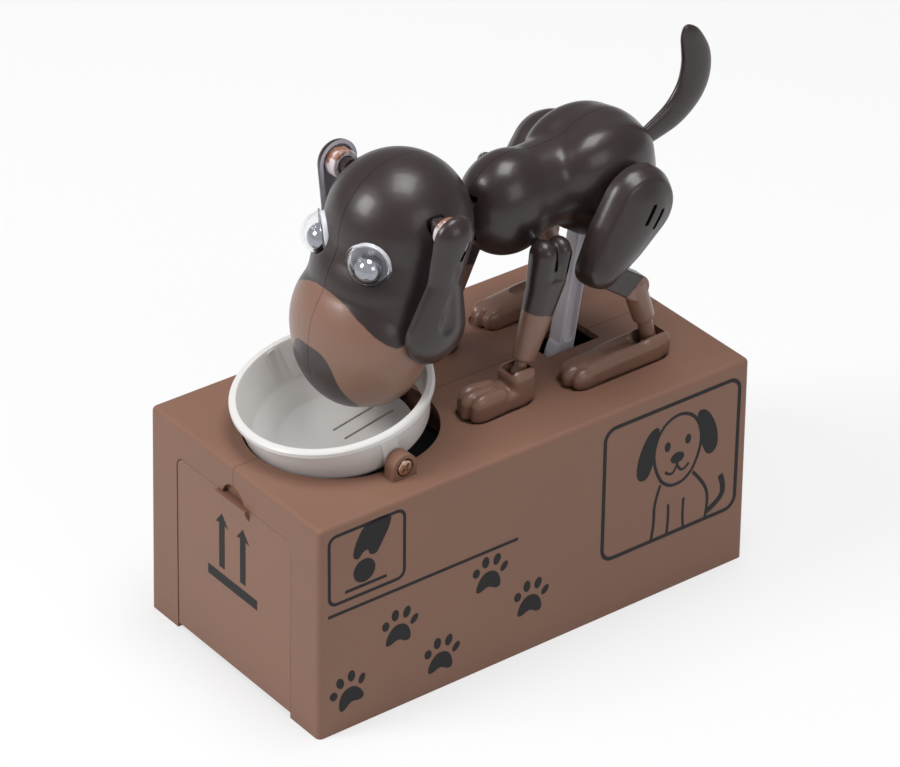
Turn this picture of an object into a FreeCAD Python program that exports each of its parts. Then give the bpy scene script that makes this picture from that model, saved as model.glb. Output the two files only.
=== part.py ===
import FreeCAD, Part
import math
import os
import re
import Sketcher

# A battery-driven coin bank: a dog on a hollow box lowers its head into a tipping bowl.
# Millimetres, +Z up, origin at the centre of the box's underside, the dog faces -Y.

os.makedirs("parts", exist_ok=True)
doc = FreeCAD.newDocument("mechanical_bank")
sheet = doc.addObject("Spreadsheet::Sheet", "Sheet")

DIMENSIONS = {
    # housing
    "box_wide": 81.4, "box_long": 153.4, "box_high": 68.0, "box_draft": 0.6, "box_round": 1.6,
    "wall": 2.8, "plate": 2.2, "floor_thick": 2.0, "partition_y": -7.0, "partition_thick": 2.0,
    "flush_gap": 0.3, "run_gap": 0.06, "free_gap": 0.3, "post_slot_wide": 11.4,
    "post_slot_front": 29.5, "post_slot_back": 48.5,
    # housing screws
    "boss_r": 3.4, "screw_r": 1.45, "screw_head_r": 2.7, "screw_head_deep": 1.6,
    "screw_grip": 10.0, "screw_reach": 30.0,
    # coin door
    "door_wide": 54.0, "door_thick": 2.0, "door_bottom": 1.6, "door_top": 57.6,
    "door_corner": 3.0, "hinge_z": 4.3, "hinge_r": 1.4, "knuckle_r": 2.0,
    "hinge_pin_long": 2.2, "tab_wide": 14.4, "tab_high": 3.6, "tab_proud": 1.4, "notch_r": 5.2,
    "notch_high": 4.4, "notch_deep": 2.0,
    # battery bay
    "cell_r": 7.25, "cell_long": 50.5, "cell_pitch": 15.2, "bay_front": 7.0, "bay_wall": 1.5,
    "bay_half_wide": 16.0, "bay_top": 19.0, "contact_thick": 0.5, "dimple_high": 0.8,
    "hatch_margin": 0.3, "hatch_thick": 1.6, "hatch_tail": 7.2,
    # gear train
    "frame_thick": 1.5, "frame_right_x": -8.5, "frame_left_x": 15.5, "frame_front": 25.0,
    "frame_back": 67.0, "frame_top": 57.0, "gear_module": 0.5, "wheel_teeth": 30,
    "pinion_teeth": 10, "axle_r": 1.0, "crank_y": 35.7, "crank_z": 45.0, "crank_throw": 1.3,
    "crank_pin_r": 1.0, "motor_r": 10.0, "motor_long": 25.0, "motor_flat": 7.6,
    "motor_nose_r": 3.0,
    # drive post
    "rocker_y": 32.5, "rocker_z": 25.0, "rocker_shaft_r": 2.0, "post_thick": 8.0,
    "trunk_y": 46.0, "rod_r": 1.5, "post_top_r": 3.4, "post_base_r": 5.2,
    # bowl
    "bowl_y": -42.8, "bowl_tilt": 11.0, "bowl_r": 28.8, "lip_high": 2.0, "lip_wide": 2.4,
    "bowl_wall": 1.6, "bowl_waist_r": 24.2, "bowl_waist_deep": 11.5, "bowl_floor_r": 18.0,
    "bowl_deep": 17.0, "bowl_hole_r": 25.8, "bowl_hole_front": -41.7, "bowl_hole_back": -37.0,
    "tip_y": -41.2, "tip_screw_r": 1.3, "lug_r": 2.8, "tip_boss_r": 4.0, "exit_wide": 28.0,
    "exit_high": 6.0, "tongue_wide": 4.6, "tongue_slit": 0.8, "tongue_long": 17.0,
    # paws
    "recess": 0.8, "front_paw_x": 17.3, "front_paw_y": -5.6, "front_paw_r": 5.3,
    "front_heel_y": 8.0, "front_heel_r": 4.9, "hind_paw_x": 20.2, "hind_paw_y": 28.4,
    "hind_paw_r": 5.6, "hind_heel_y": 54.6, "hind_heel_r": 5.3, "tongue": 5.0,
    "foot_pin_r": 1.2, "foot_r": 2.9,
    # legs
    "ankle_y": 9.4, "shoulder_y": 20.3, "leg_in": 13.0, "leg_out": 21.8, "leg_top_r": 5.3,
    "leg_low_r": 4.1, "leg_skin": 1.5, "leg_low_y": 11.7, "shaft_in": 15.0, "shaft_y": 21.4,
    "leg_cap_y": 18.6, "leg_cap_r": 4.8, "open_gap": 0.9, "hip_y": 50.4, "thigh_y": 47.8,
    "thigh_r": 11.6, "knee_y": 33.4, "knee_r": 6.2, "thigh_in": 18.4, "thigh_out": 27.4,
    "thigh_skin": 1.8, "heel_y": 54.6, "hock_y": 48.4, "hock_r": 4.4, "shin_y": 52.6,
    "shin_r": 3.5, "shank_in": 16.6, "shank_out": 23.8, "knee_tongue_in": 20.0,
    "knee_eye_r": 3.8,
    # trunk
    "chest_y": 17.5, "chest_half_x": 12.4, "chest_half_y": 15.2, "chest_half_z": 15.8,
    "rump_y": 48.5, "rump_half_x": 16.9, "rump_half_y": 18.6, "rump_half_z": 19.0,
    "waist_r": 11.8, "shell": 1.6, "neck_y": -6.0, "neck_r": 4.4, "neck_thick": 6.4,
    "tail_y": 62.5, "tail_thick": 4.8, "tail_eye_r": 3.2,
    # head
    "skull_y": -20.0, "skull_r": 20.7, "brow_y": -26.6, "brow_half_x": 20.6,
    "brow_half_y": 18.9, "brow_half_z": 18.0, "muzzle_y": -33.2, "muzzle_half_x": 22.5,
    "muzzle_half_y": 17.6, "muzzle_half_z": 22.4, "eye_x": 10.5, "eye_y": -37.8, "eye_r": 6.2,
    "eye_skin": 0.6, "ball_r": 4.1,
    # ears
    "ear_x": 24.8, "ear_y": -21.4, "ear_lean_in": 4.5, "ear_top_r": 6.6, "ear_low_r": 10.2,
    "ear_drop": 29.5, "ear_thick": 5.0, "ear_skin": 1.3, "ear_boss_r": 3.2, "ear_pin_out": 5.0,
}
# places that follow another size: the dog stands on the lid, the bowl's bosses beside the bowl
FOLLOWING = {
    "hinge_y": "-box_long / 2 + 2.2",
    "bowl_z": "box_high + 14", "tip_z": "box_high + 3.4",
    "boss_in": "bowl_r - 0.9", "boss_out": "bowl_r + 3.2", "lug_out": "bowl_r - 1.2",
    "front_paw_top": "box_high + 6.6", "front_heel_top": "box_high + 10.8",
    "hind_paw_top": "box_high + 4.6", "hind_heel_top": "box_high + 7.2",
    "ankle_z": "box_high + 8", "leg_low_z": "box_high + 15.6", "leg_cap_z": "box_high + 36.8",
    "shaft_z": "box_high + 42.6", "shoulder_z": "box_high + 43",
    "heel_z": "box_high + 4", "shin_z": "box_high + 12.4", "hock_z": "box_high + 24",
    "knee_z": "box_high + 34.8", "thigh_z": "box_high + 51", "hip_z": "box_high + 47",
    "trunk_z": "box_high + 44", "chest_z": "box_high + 52.5", "rump_z": "box_high + 52.5",
    "neck_z": "box_high + 54", "tail_z": "box_high + 55.4",
    "muzzle_z": "box_high + 29.6", "brow_z": "box_high + 44", "skull_z": "box_high + 58.6",
    "eye_z": "box_high + 56.3", "ear_z": "box_high + 66.4",
}
SWING_LEFT_EAR = 8.0
SWING_RIGHT_EAR = 2.0
SIDES = {"left": 1, "right": -1}

for row, (alias, number) in enumerate(DIMENSIONS.items(), start=1):
    sheet.set(f"A{row}", alias)
    sheet.set(f"B{row}", str(number))
    sheet.setAlias(f"B{row}", alias)
doc.recompute()

finished = {}


def in_cells(expression):
    """The same expression with every following place put in terms of the sheet's cells."""
    return re.sub(r"[a-z]\w*", lambda word: f"({in_cells(FOLLOWING[word[0]])})"
                  if word[0] in FOLLOWING else word[0], str(expression))


def value(expression):
    """The number that an expression on the sheet's cells gives."""
    return float(sheet.evalExpression(in_cells(expression)))


def on_sheet(expression):
    """The same expression as other objects read it, with each cell named through the sheet."""
    return re.sub(r"[a-z]\w*", lambda word: f"Sheet.{word[0]}"
                  if word[0] in DIMENSIONS else word[0], in_cells(expression))


def finish(label, item):
    """Give a finished sub-part its label and keep it for the export."""
    item.Label = label
    finished[label] = item
    return item


# ---------------------------------------------------------------- sketches and slabs

def pin_point(sketch, shape, corner, u, v):
    """Tie one point of a sketch to the sketch's origin by two bound distances."""
    for kind, expression in (("DistanceX", u), ("DistanceY", v)):
        index = sketch.addConstraint(
            Sketcher.Constraint(kind, -1, 1, shape, corner, value(expression)))
        sketch.setExpression(f"Constraints[{index}]", on_sheet(expression))


def draw_polygon(sketch, *points):
    """A closed outline of straight lines through the given points."""
    places = [FreeCAD.Vector(value(u), value(v), 0) for u, v in points]
    count = len(places)
    lines = [sketch.addGeometry(Part.LineSegment(places[i], places[(i + 1) % count]), False)
             for i in range(count)]
    for i, line in enumerate(lines):
        after = lines[(i + 1) % count]
        sketch.addConstraint(Sketcher.Constraint("Coincident", line, 2, after, 1))
    for line, (u, v) in zip(lines, points):
        pin_point(sketch, line, 1, u, v)


def draw_box(sketch, u0, u1, v0, v1):
    """A rectangle between two limits each way."""
    draw_polygon(sketch, (u0, v0), (u1, v0), (u1, v1), (u0, v1))


def draw_circle(sketch, u, v, radius):
    """A circle."""
    middle = FreeCAD.Vector(value(u), value(v), 0)
    circle = sketch.addGeometry(
        Part.Circle(middle, FreeCAD.Vector(0, 0, 1), value(radius)), False)
    pin_point(sketch, circle, 3, u, v)
    index = sketch.addConstraint(Sketcher.Constraint("Radius", circle, value(radius)))
    sketch.setExpression(f"Constraints[{index}]", on_sheet(radius))


def draw_link(sketch, u0, v0, r0, u1, v1, r1):
    """The outline round two circles, joined by their two outer tangents."""
    start = FreeCAD.Vector(value(u0), value(v0), 0)
    end = FreeCAD.Vector(value(u1), value(v1), 0)
    start_r, end_r = value(r0), value(r1)
    along = math.atan2(end.y - start.y, end.x - start.x)
    spread = math.acos((start_r - end_r) / start.distanceToPoint(end))
    normal = FreeCAD.Vector(0, 0, 1)

    def on_circle(centre, radius, angle):
        return centre + FreeCAD.Vector(math.cos(angle), math.sin(angle), 0) * radius

    far = sketch.addGeometry(Part.ArcOfCircle(
        Part.Circle(start, normal, start_r), along + spread, along - spread + 2 * math.pi), False)
    low = sketch.addGeometry(Part.LineSegment(
        on_circle(start, start_r, along - spread), on_circle(end, end_r, along - spread)), False)
    near = sketch.addGeometry(Part.ArcOfCircle(
        Part.Circle(end, normal, end_r), along - spread, along + spread), False)
    high = sketch.addGeometry(Part.LineSegment(
        on_circle(end, end_r, along + spread), on_circle(start, start_r, along + spread)), False)
    for one, other in ((far, low), (low, near), (near, high), (high, far)):
        sketch.addConstraint(Sketcher.Constraint("Tangent", one, 2, other, 1))
    pin_point(sketch, far, 3, u0, v0)
    pin_point(sketch, near, 3, u1, v1)
    for arc, radius, expression in ((far, start_r, r0), (near, end_r, r1)):
        index = sketch.addConstraint(Sketcher.Constraint("Radius", arc, radius))
        sketch.setExpression(f"Constraints[{index}]", on_sheet(expression))


DRAW = {"box": draw_box, "polygon": draw_polygon, "circle": draw_circle, "link": draw_link}


def new_body(label):
    """An empty body."""
    body = doc.addObject("PartDesign::Body", label)
    return finish(label, body)


def plane_of(body, role):
    """One of the body's own three origin planes."""
    return next(plane for plane in body.Origin.OriginFeatures if plane.Role == role)


def new_sketch(body, plane, level):
    """A sketch parallel to an origin plane; its level may be an expression."""
    sketch = body.newObject("Sketcher::SketchObject", f"{body.Name}_sketch")
    sketch.AttachmentSupport = (plane_of(body, plane), "")
    sketch.MapMode = "FlatFace"
    sketch.AttachmentOffset = FreeCAD.Placement()
    sketch.setExpression(".AttachmentOffset.Base.z", on_sheet(level))
    return sketch


def slab(body, plane, low, high, *outline, cut=False):
    """Add or cut the outline between two levels across an origin plane."""
    if value(low) > value(high):
        low, high = high, low
    # the XZ plane looks along -Y, so its levels count backwards
    level = f"-({high})" if plane == "XZ_Plane" else low
    sketch = new_sketch(body, plane, level)
    for shape, *sizes in outline:
        DRAW[shape](sketch, *sizes)
    before = body.Shape.Volume if cut else 0.0
    feature = body.newObject("PartDesign::Pocket" if cut else "PartDesign::Pad", "feature")
    feature.Profile = sketch
    feature.setExpression("Length", on_sheet(f"({high}) - ({low})"))
    feature.Reversed = cut
    doc.recompute()
    if cut and body.Shape.Volume > before - 1e-3:
        raise RuntimeError(f"{body.Label}: a pocket on {plane} cuts nothing")
    return feature


def round_edges(body, radius, wanted):
    """Fillet the edges of the body's last feature that the test picks."""
    base = body.Tip
    names = [f"Edge{i}" for i, edge in enumerate(base.Shape.Edges, start=1) if wanted(edge)]
    fillet = body.newObject("PartDesign::Fillet", "fillet")
    fillet.Base = (base, names)
    fillet.setExpression("Radius", on_sheet(radius))
    doc.recompute()
    return fillet


def flat_on(axis, expression):
    """A test for edges that lie wholly in the plane axis = expression."""
    level = value(expression)

    def test(edge):
        box = edge.BoundBox
        low, high = {"x": (box.XMin, box.XMax), "y": (box.YMin, box.YMax),
                     "z": (box.ZMin, box.ZMax)}[axis]
        return abs(low - level) < 1e-3 and abs(high - level) < 1e-3
    return test


def span(side, near, far):
    """Two levels in X, counted outwards from the middle plane on the given side."""
    return f"{side} * ({near})", f"{side} * ({far})"


def rising(side, near, far):
    """The same two levels with the lower one first, as blocks and rods need them."""
    return span(side, near, far)[::side]


# ---------------------------------------------------------------- primitives

def bind(item, **sizes):
    """Bind an object's properties to expressions on the sheet."""
    for name, expression in sizes.items():
        item.setExpression(name, on_sheet(expression))


def move(item, x="0", y="0", z="0", turn=FreeCAD.Rotation()):
    """Place an object, with its position bound to the sheet."""
    item.Placement = FreeCAD.Placement(FreeCAD.Vector(), turn)
    for axis, expression in (("x", x), ("y", y), ("z", z)):
        item.setExpression(f".Placement.Base.{axis}", on_sheet(expression))


ALONG_X = FreeCAD.Rotation(FreeCAD.Vector(0, 1, 0), 90)
ALONG_Y = FreeCAD.Rotation(FreeCAD.Vector(1, 0, 0), -90)


def rod_x(x0, x1, y, z, radius):
    """A round bar along X from x0 to x1."""
    rod = doc.addObject("Part::Cylinder", "rod")
    bind(rod, Radius=radius, Height=f"({x1}) - ({x0})")
    move(rod, x0, y, z, ALONG_X)
    return rod


def block(x0, x1, y0, y1, z0, z1):
    """A rectangular block."""
    item = doc.addObject("Part::Box", "block")
    bind(item, Length=f"({x1}) - ({x0})", Width=f"({y1}) - ({y0})", Height=f"({z1}) - ({z0})")
    move(item, x0, y0, z0)
    return item


def ball(x, y, z, radius):
    """A round ball."""
    item = doc.addObject("Part::Sphere", "ball")
    bind(item, Radius=radius)
    move(item, x, y, z)
    return item


def lobe(y, z, half_x, half_y, half_z, inset="0"):
    """An egg-shaped lobe on the middle plane, optionally smaller all round."""
    item = doc.addObject("Part::Ellipsoid", "lobe")
    # the poles point sideways, so that the seam plane cuts along the equator
    bind(item, Radius1=f"{half_x} - {inset}", Radius2=f"{half_z} - {inset}",
         Radius3=f"{half_y} - {inset}")
    item.Angle1 = -90
    item.Angle2 = 90
    move(item, "0", y, z, ALONG_X)
    return item


def fuse(*items):
    """One solid of several that touch."""
    item = doc.addObject("Part::MultiFuse", "fuse")
    item.Shapes = list(items)
    return item


def carve(base, *tools):
    """The base without each of the tools."""
    for tool in tools:
        item = doc.addObject("Part::Cut", "cut")
        item.Base = base
        item.Tool = tool
        base = item
    return base


def common(one, other):
    """What two solids share."""
    item = doc.addObject("Part::Common", "common")
    item.Base = one
    item.Tool = other
    return item


def group(*items):
    """Separate solids kept as one node."""
    item = doc.addObject("Part::Compound", "group")
    item.Links = list(items)
    return item


# ---------------------------------------------------------------- housing

inner_half_x = "box_wide / 2 - wall"
inner_half_y = "box_long / 2 - wall"
under_plate = "box_high - plate"
door_gap_half = "door_wide / 2 + flush_gap"
boss_y = "box_long / 2 - 7.4"
housing_bosses = ((f"-({boss_y})", "box_high - 6"), (boss_y, "box_high - 6.5"), (boss_y, "15"),
                  ("-1.2", "6.5"), ("-1.2", "box_high - 7"))
cell_x = "cell_pitch / 2"
bay_long = "cell_long + 2 * (contact_thick + dimple_high)"
bay_back = f"bay_front + {bay_long}"
hatch_back = f"{bay_back} + hatch_tail"
hatch_screw_y = f"{bay_back} + bay_wall + 2.4"
paws = {
    "front": ("front_paw_x", "front_paw_y", "front_paw_r", "front_heel_y", "front_heel_r"),
    "hind": ("hind_paw_x", "hind_paw_y", "hind_paw_r", "hind_heel_y", "hind_heel_r"),
}


def housing_half(name, side):
    """One moulded half of the box, open at the seam on the middle plane."""
    body = new_body(f"housing_{name}")
    base = slab(body, "XY_Plane", "0", "box_high",
                ("box", "-box_wide / 2", "box_wide / 2", "-box_long / 2", "box_long / 2"))
    base.setExpression("TaperAngle", on_sheet("-box_draft"))
    doc.recompute()
    high = value("box_high")

    def outer_edge(edge):
        box = edge.BoundBox
        return box.ZLength > high / 2 or box.ZMin > high - 0.1

    round_edges(body, "box_round", outer_edge)
    slab(body, "XY_Plane", "-1", "box_high + 1",
         ("box", "0", f"{-side} * box_wide", "-box_long", "box_long"), cut=True)
    inner_x = f"{side} * ({inner_half_x})"
    slab(body, "XY_Plane", "floor_thick", under_plate,
         ("box", "0", inner_x, f"-({inner_half_y})", "partition_y - partition_thick / 2"),
         ("box", "0", inner_x, "partition_y + partition_thick / 2", inner_half_y), cut=True)
    near, far = span(side, "0", f"{inner_half_x} + 0.5")
    for y, z in housing_bosses:
        slab(body, "YZ_Plane", near, far, ("circle", y, z, "boss_r"))
    # blocks that carry the coin door's hinge pins
    near, far = span(side, f"{door_gap_half}", f"{door_gap_half} + 6")
    slab(body, "YZ_Plane", near, far,
         ("box", "hinge_y - 1", "hinge_y + 4", "floor_thick - 0.5", "hinge_z + 4"))
    # openings: coin door, bowl, drive post, battery hatch
    half = f"{side} * ({door_gap_half})"
    corner = "door_corner + flush_gap"
    through_front = ("XZ_Plane", "-box_long / 2 - 1", f"-({inner_half_y}) + 2.6")
    slab(body, *through_front, ("box", "0", half, "-1", "door_top - door_corner"), cut=True)
    slab(body, *through_front,
         ("link", "0", "door_top - door_corner", corner,
          f"{side} * ({door_gap_half} - ({corner}))", "door_top - door_corner",
          f"{corner} - 0.01"), cut=True)
    slab(body, "XY_Plane", f"{under_plate} - 1", "box_high + 1",
         ("link", "0", "bowl_hole_front", "bowl_hole_r", "0", "bowl_hole_back", "bowl_hole_r - 0.01"),
         cut=True)
    slab(body, "XY_Plane", f"{under_plate} - 1", "box_high + 1",
         ("box", "0", f"{side} * post_slot_wide / 2", "post_slot_front", "post_slot_back"), cut=True)
    slab(body, "XY_Plane", "-1", "floor_thick + 0.1",
         ("box", "0", f"{side} * (bay_half_wide - 0.3)", "bay_front", hatch_back), cut=True)
    # arched finger notch over the door
    slab(body, "XZ_Plane", "-box_long / 2 - 1", "-box_long / 2 + notch_deep",
         ("circle", "0", "door_top + notch_high - notch_r", "notch_r"), cut=True)
    # shallow seats for the paws
    for x, toe_y, toe_r, heel_y, heel_r in paws.values():
        slab(body, "XY_Plane", "box_high - recess", "box_high + 1",
             ("link", f"{side} * {x}", toe_y, f"{toe_r} + flush_gap",
              f"{side} * {x}", heel_y, f"{heel_r} + flush_gap"), cut=True)
    # bearing boss of the bowl, with its foot on the plate
    near, far = span(side, "boss_in", "boss_out")
    slab(body, "YZ_Plane", near, far,
         ("box", "tip_y - tip_boss_r", "tip_y + tip_boss_r", f"{under_plate} + 0.5", "tip_z"))
    slab(body, "YZ_Plane", near, far, ("circle", "tip_y", "tip_z", "tip_boss_r"))
    near, far = span(side, "boss_in - 1", "boss_out + 1")
    slab(body, "YZ_Plane", near, far, ("circle", "tip_y", "tip_z", "tip_screw_r + 0.02"), cut=True)
    near, far = span(side, "boss_out - 0.8", "boss_out + 1")
    slab(body, "YZ_Plane", near, far, ("circle", "tip_y", "tip_z", "screw_head_r + 0.1"), cut=True)
    # hinge bores, and bores for the housing screws, which enter from the right half
    near, far = span(side, f"{door_gap_half} - 1", f"{door_gap_half} + 4")
    slab(body, "YZ_Plane", near, far, ("circle", "hinge_y", "hinge_z", "hinge_r + run_gap"), cut=True)
    if side < 0:
        for y, z in housing_bosses:
            slab(body, "YZ_Plane", "-box_wide", "1", ("circle", y, z, "screw_r + run_gap"), cut=True)
            slab(body, "YZ_Plane", "-box_wide", "-screw_reach",
                 ("circle", y, z, "screw_head_r + flush_gap"), cut=True)
    else:
        for y, z in housing_bosses:
            slab(body, "YZ_Plane", "-1", "screw_grip + 1", ("circle", y, z, "screw_r + run_gap"),
                 cut=True)
    return body


for name, side in SIDES.items():
    housing_half(name, side)

finish("housing_screws", group(*[
    fuse(rod_x("-screw_reach", "screw_grip", y, z, "screw_r"),
         rod_x("-screw_reach - screw_head_deep", "-screw_reach", y, z, "screw_head_r"))
    for y, z in housing_bosses]))


# ---------------------------------------------------------------- coin door

def coin_door():
    """The flap in the front, hinged on two moulded pins at its lower edge."""
    body = new_body("front_door")
    half = "door_wide / 2"
    slab(body, "XZ_Plane", "-door_thick", "0",
         ("box", f"-{half}", half, "door_bottom - hinge_z", "door_top - hinge_z"))
    top = value("door_top - hinge_z")
    round_edges(body, "door_corner", lambda edge: edge.BoundBox.YLength > 1
                and edge.CenterOfMass.z > top - 0.01 and abs(edge.CenterOfMass.x) > 5)
    slab(body, "YZ_Plane", f"-{half}", half, ("circle", "0", "0", "knuckle_r"))
    slab(body, "YZ_Plane", f"-{half} - hinge_pin_long", f"{half} + hinge_pin_long",
         ("circle", "0", "0", "hinge_r"))
    # a wedge-shaped lip to pull it by
    lip_top, face = "door_top - hinge_z", "-door_thick"
    slab(body, "YZ_Plane", "-tab_wide / 2", "tab_wide / 2", (
        "polygon", (f"{face} + 0.5", lip_top), (f"{face} - tab_proud", lip_top),
        (f"{face} - tab_proud", f"{lip_top} - 0.8"), (face, f"{lip_top} - tab_high"),
        (f"{face} + 0.5", f"{lip_top} - tab_high")))
    body.Placement = FreeCAD.Placement(
        FreeCAD.Vector(0, value("hinge_y"), value("hinge_z")),
        FreeCAD.Rotation(FreeCAD.Vector(1, 0, 0), -value("box_draft")))
    return body


coin_door()


# ---------------------------------------------------------------- battery bay

def battery_bay():
    """The tray over the two cells, the hatch under them and its screw."""
    tray = new_body("battery_tray")
    wide = "bay_half_wide + bay_wall"
    slab(tray, "XY_Plane", "floor_thick", "bay_top",
         ("box", f"-({wide})", wide, "bay_front - bay_wall", f"{bay_back} + bay_wall"))
    slab(tray, "XY_Plane", "floor_thick", "bay_top - bay_wall",
         ("box", "-bay_half_wide", "bay_half_wide", "bay_front", bay_back), cut=True)
    slab(tray, "XY_Plane", "floor_thick", "floor_thick + 9",
         ("box", "-4", "4", f"{bay_back} + bay_wall - 0.5", f"{hatch_screw_y} + 4"))
    slab(tray, "XY_Plane", "floor_thick", "floor_thick + 8",
         ("circle", "0", hatch_screw_y, "screw_r + 0.02"), cut=True)
    hatch = new_body("battery_door")
    half = "bay_half_wide - 0.3 - hatch_margin"
    slab(hatch, "XY_Plane", "floor_thick - hatch_thick", "floor_thick",
         ("box", f"-({half})", half, "bay_front + hatch_margin", f"{hatch_back} - hatch_margin"))
    slab(hatch, "XY_Plane", "0", "floor_thick + 1",
         ("circle", "0", hatch_screw_y, "screw_r + run_gap"), cut=True)
    slab(hatch, "XY_Plane", "0", "floor_thick - hatch_thick + 0.8",
         ("circle", "0", hatch_screw_y, "screw_head_r + 0.2"), cut=True)
    screw = new_body("battery_door_screw")
    head_top = "floor_thick - hatch_thick + 0.8"
    slab(screw, "XY_Plane", f"{head_top} - 0.7", head_top,
         ("circle", "0", hatch_screw_y, "screw_head_r"))
    slab(screw, "XY_Plane", f"{head_top} - 0.1", "floor_thick + 7",
         ("circle", "0", hatch_screw_y, "screw_r"))


battery_bay()
cell_z = "floor_thick + cell_r + 0.1"
cell_front = "bay_front + contact_thick + dimple_high"


def bar_y(x, z, radius, y0, y1):
    """A round bar along Y."""
    bar = doc.addObject("Part::Cylinder", "bar")
    bind(bar, Radius=radius, Height=f"({y1}) - ({y0})")
    move(bar, x, y0, z, ALONG_Y)
    return bar


for name, side in SIDES.items():
    x = f"{side} * {cell_x}"
    nub_y = cell_front if side > 0 else f"{cell_front} + cell_long - 1.4"
    can_y = f"{cell_front} + 1.4" if side > 0 else cell_front
    finish(f"battery_cell_{name}", fuse(
        bar_y(x, cell_z, "cell_r", can_y, f"{can_y} + cell_long - 1.4"),
        bar_y(x, cell_z, "2.7", nub_y, f"{nub_y} + 1.4")))

contact_leaves = [block("-bay_half_wide + 1", "bay_half_wide - 1", "bay_front",
                        "bay_front + contact_thick", f"{cell_z} - 4", f"{cell_z} + 4")]
contact_leaves += [
    block(f"{side} * {cell_x} - 5", f"{side} * {cell_x} + 5", f"{bay_back} - contact_thick",
          bay_back, f"{cell_z} - 4", f"{cell_z} + 4") for side in SIDES.values()]
dimples = {
    (side, end): bar_y(f"{side} * {cell_x}", cell_z, "2.4", start, f"{start} + dimple_high")
    for side in SIDES.values()
    for end, start in (("front", "bay_front + contact_thick"),
                       ("back", f"{bay_back} - contact_thick - dimple_high"))}
finish("battery_contacts", group(
    fuse(contact_leaves[0], dimples[1, "front"], dimples[-1, "front"]),
    fuse(contact_leaves[1], dimples[1, "back"]),
    fuse(contact_leaves[2], dimples[-1, "back"])))


# ---------------------------------------------------------------- gear train

wheel_pitch = "gear_module * wheel_teeth / 2"
pinion_pitch = "gear_module * pinion_teeth / 2"
mesh_gap = f"{wheel_pitch} + {pinion_pitch}"
second_y, second_z = f"crank_y + {mesh_gap}", "crank_z"
first_y, first_z = second_y, f"{second_z} - ({mesh_gap})"
motor_y, motor_z = f"{first_y} + {mesh_gap}", first_z


def add_teeth(body, teeth, low, high):
    """A ring of teeth between two levels of X, about the body's own X axis."""
    count = int(value(teeth))
    root = f"gear_module * ({teeth} / 2 - 1.25)"
    pitch = f"gear_module * {teeth} / 2"
    tip = f"gear_module * ({teeth} / 2 + 0.92)"
    slab(body, "YZ_Plane", low, high, ("circle", "0", "0", root))
    tooth = slab(body, "YZ_Plane", low, high, (
        "polygon", (f"{root} - 0.2", "-0.86 * gear_module"), (pitch, "-0.66 * gear_module"),
        (tip, "-0.26 * gear_module"), (tip, "0.26 * gear_module"), (pitch, "0.66 * gear_module"),
        (f"{root} - 0.2", "0.86 * gear_module")))
    ring = body.newObject("PartDesign::PolarPattern", "teeth")
    ring.Originals = [tooth]
    ring.Axis = (plane_of(body, "X_Axis"), [""])
    ring.Angle = 360
    ring.Occurrences = count
    body.Tip = ring
    doc.recompute()


def gear(label, y, z, turn, rings, bore="axle_r + run_gap"):
    """A gear of one or more tooth rings, each with its number of teeth and its X limits."""
    body = new_body(label)
    for teeth, low, high in rings:
        add_teeth(body, teeth, low, high)
    lows = min((low for _, low, _ in rings), key=value)
    highs = max((high for _, _, high in rings), key=value)
    if bore:
        slab(body, "YZ_Plane", f"{lows} - 1", f"{highs} + 1", ("circle", "0", "0", bore), cut=True)
    body.Placement = FreeCAD.Placement(
        FreeCAD.Vector(0, value(y), value(z)), FreeCAD.Rotation(FreeCAD.Vector(1, 0, 0), turn))
    return body


half_pinion_tooth = 180 / value("pinion_teeth")
crank = gear("crank_gear", "crank_y", "crank_z", 0, [("wheel_teeth", "5.2", "7.4")])
slab(crank, "YZ_Plane", "-2.5", "5.6", ("circle", "0", "crank_throw", "crank_pin_r"))
gear("compound_gear_second", second_y, second_z, half_pinion_tooth,
     [("pinion_teeth", "5", "8.4"), ("wheel_teeth", "8.3", "10.3")])
gear("compound_gear_first", first_y, first_z, 0,
     [("pinion_teeth", "8.1", "11"), ("wheel_teeth", "10.9", "12.9")])
rotor = gear("motor_pinion", motor_y, motor_z, half_pinion_tooth,
             [("pinion_teeth", "10.8", "13.1")], bore=None)
slab(rotor, "YZ_Plane", "frame_right_x - 3", "11", ("circle", "0", "0", "axle_r"))


def gear_frame(name, low):
    """A side plate that carries the axles; it stands on the battery tray."""
    body = new_body(f"gearbox_frame_{name}")
    high = f"{low} + frame_thick"
    slab(body, "YZ_Plane", low, high, (
        "polygon", ("frame_front", "bay_top"), (f"{bay_back} + bay_wall", "bay_top"),
        ("frame_back", "bay_top + 8"), ("frame_back", "frame_top"), ("frame_front", "frame_top")))
    holes = [("rocker_y", "rocker_z", "rocker_shaft_r + 0.02"),
             (second_y, second_z, "axle_r + 0.02"), (first_y, first_z, "axle_r + 0.02")]
    if name == "right":
        holes.append((motor_y, motor_z, "motor_nose_r + 0.02"))
    else:
        holes.append(("crank_y", "crank_z", "axle_r + 0.02"))
    for y, z, radius in holes:
        slab(body, "YZ_Plane", f"{low} - 1", f"{high} + 1", ("circle", y, z, radius), cut=True)
    return body


gear_frame("right", "frame_right_x")
left_frame = gear_frame("left", "frame_left_x")
for y, z in (("frame_back - 3", "frame_top - 3"), ("frame_back - 3", "bay_top + 10.5")):
    slab(left_frame, "YZ_Plane", "frame_right_x + frame_thick", "frame_left_x + 0.5",
         ("circle", y, z, "2.2"))
axle_end = "frame_left_x + frame_thick"
finish("gear_axles", group(
    rod_x("5.7", axle_end, "crank_y", "crank_z", "axle_r"),
    rod_x("frame_right_x", axle_end, second_y, second_z, "axle_r"),
    rod_x("frame_right_x", axle_end, first_y, first_z, "axle_r")))
finish("rocker_shaft", rod_x("frame_right_x", axle_end, "rocker_y", "rocker_z", "rocker_shaft_r"))

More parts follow.
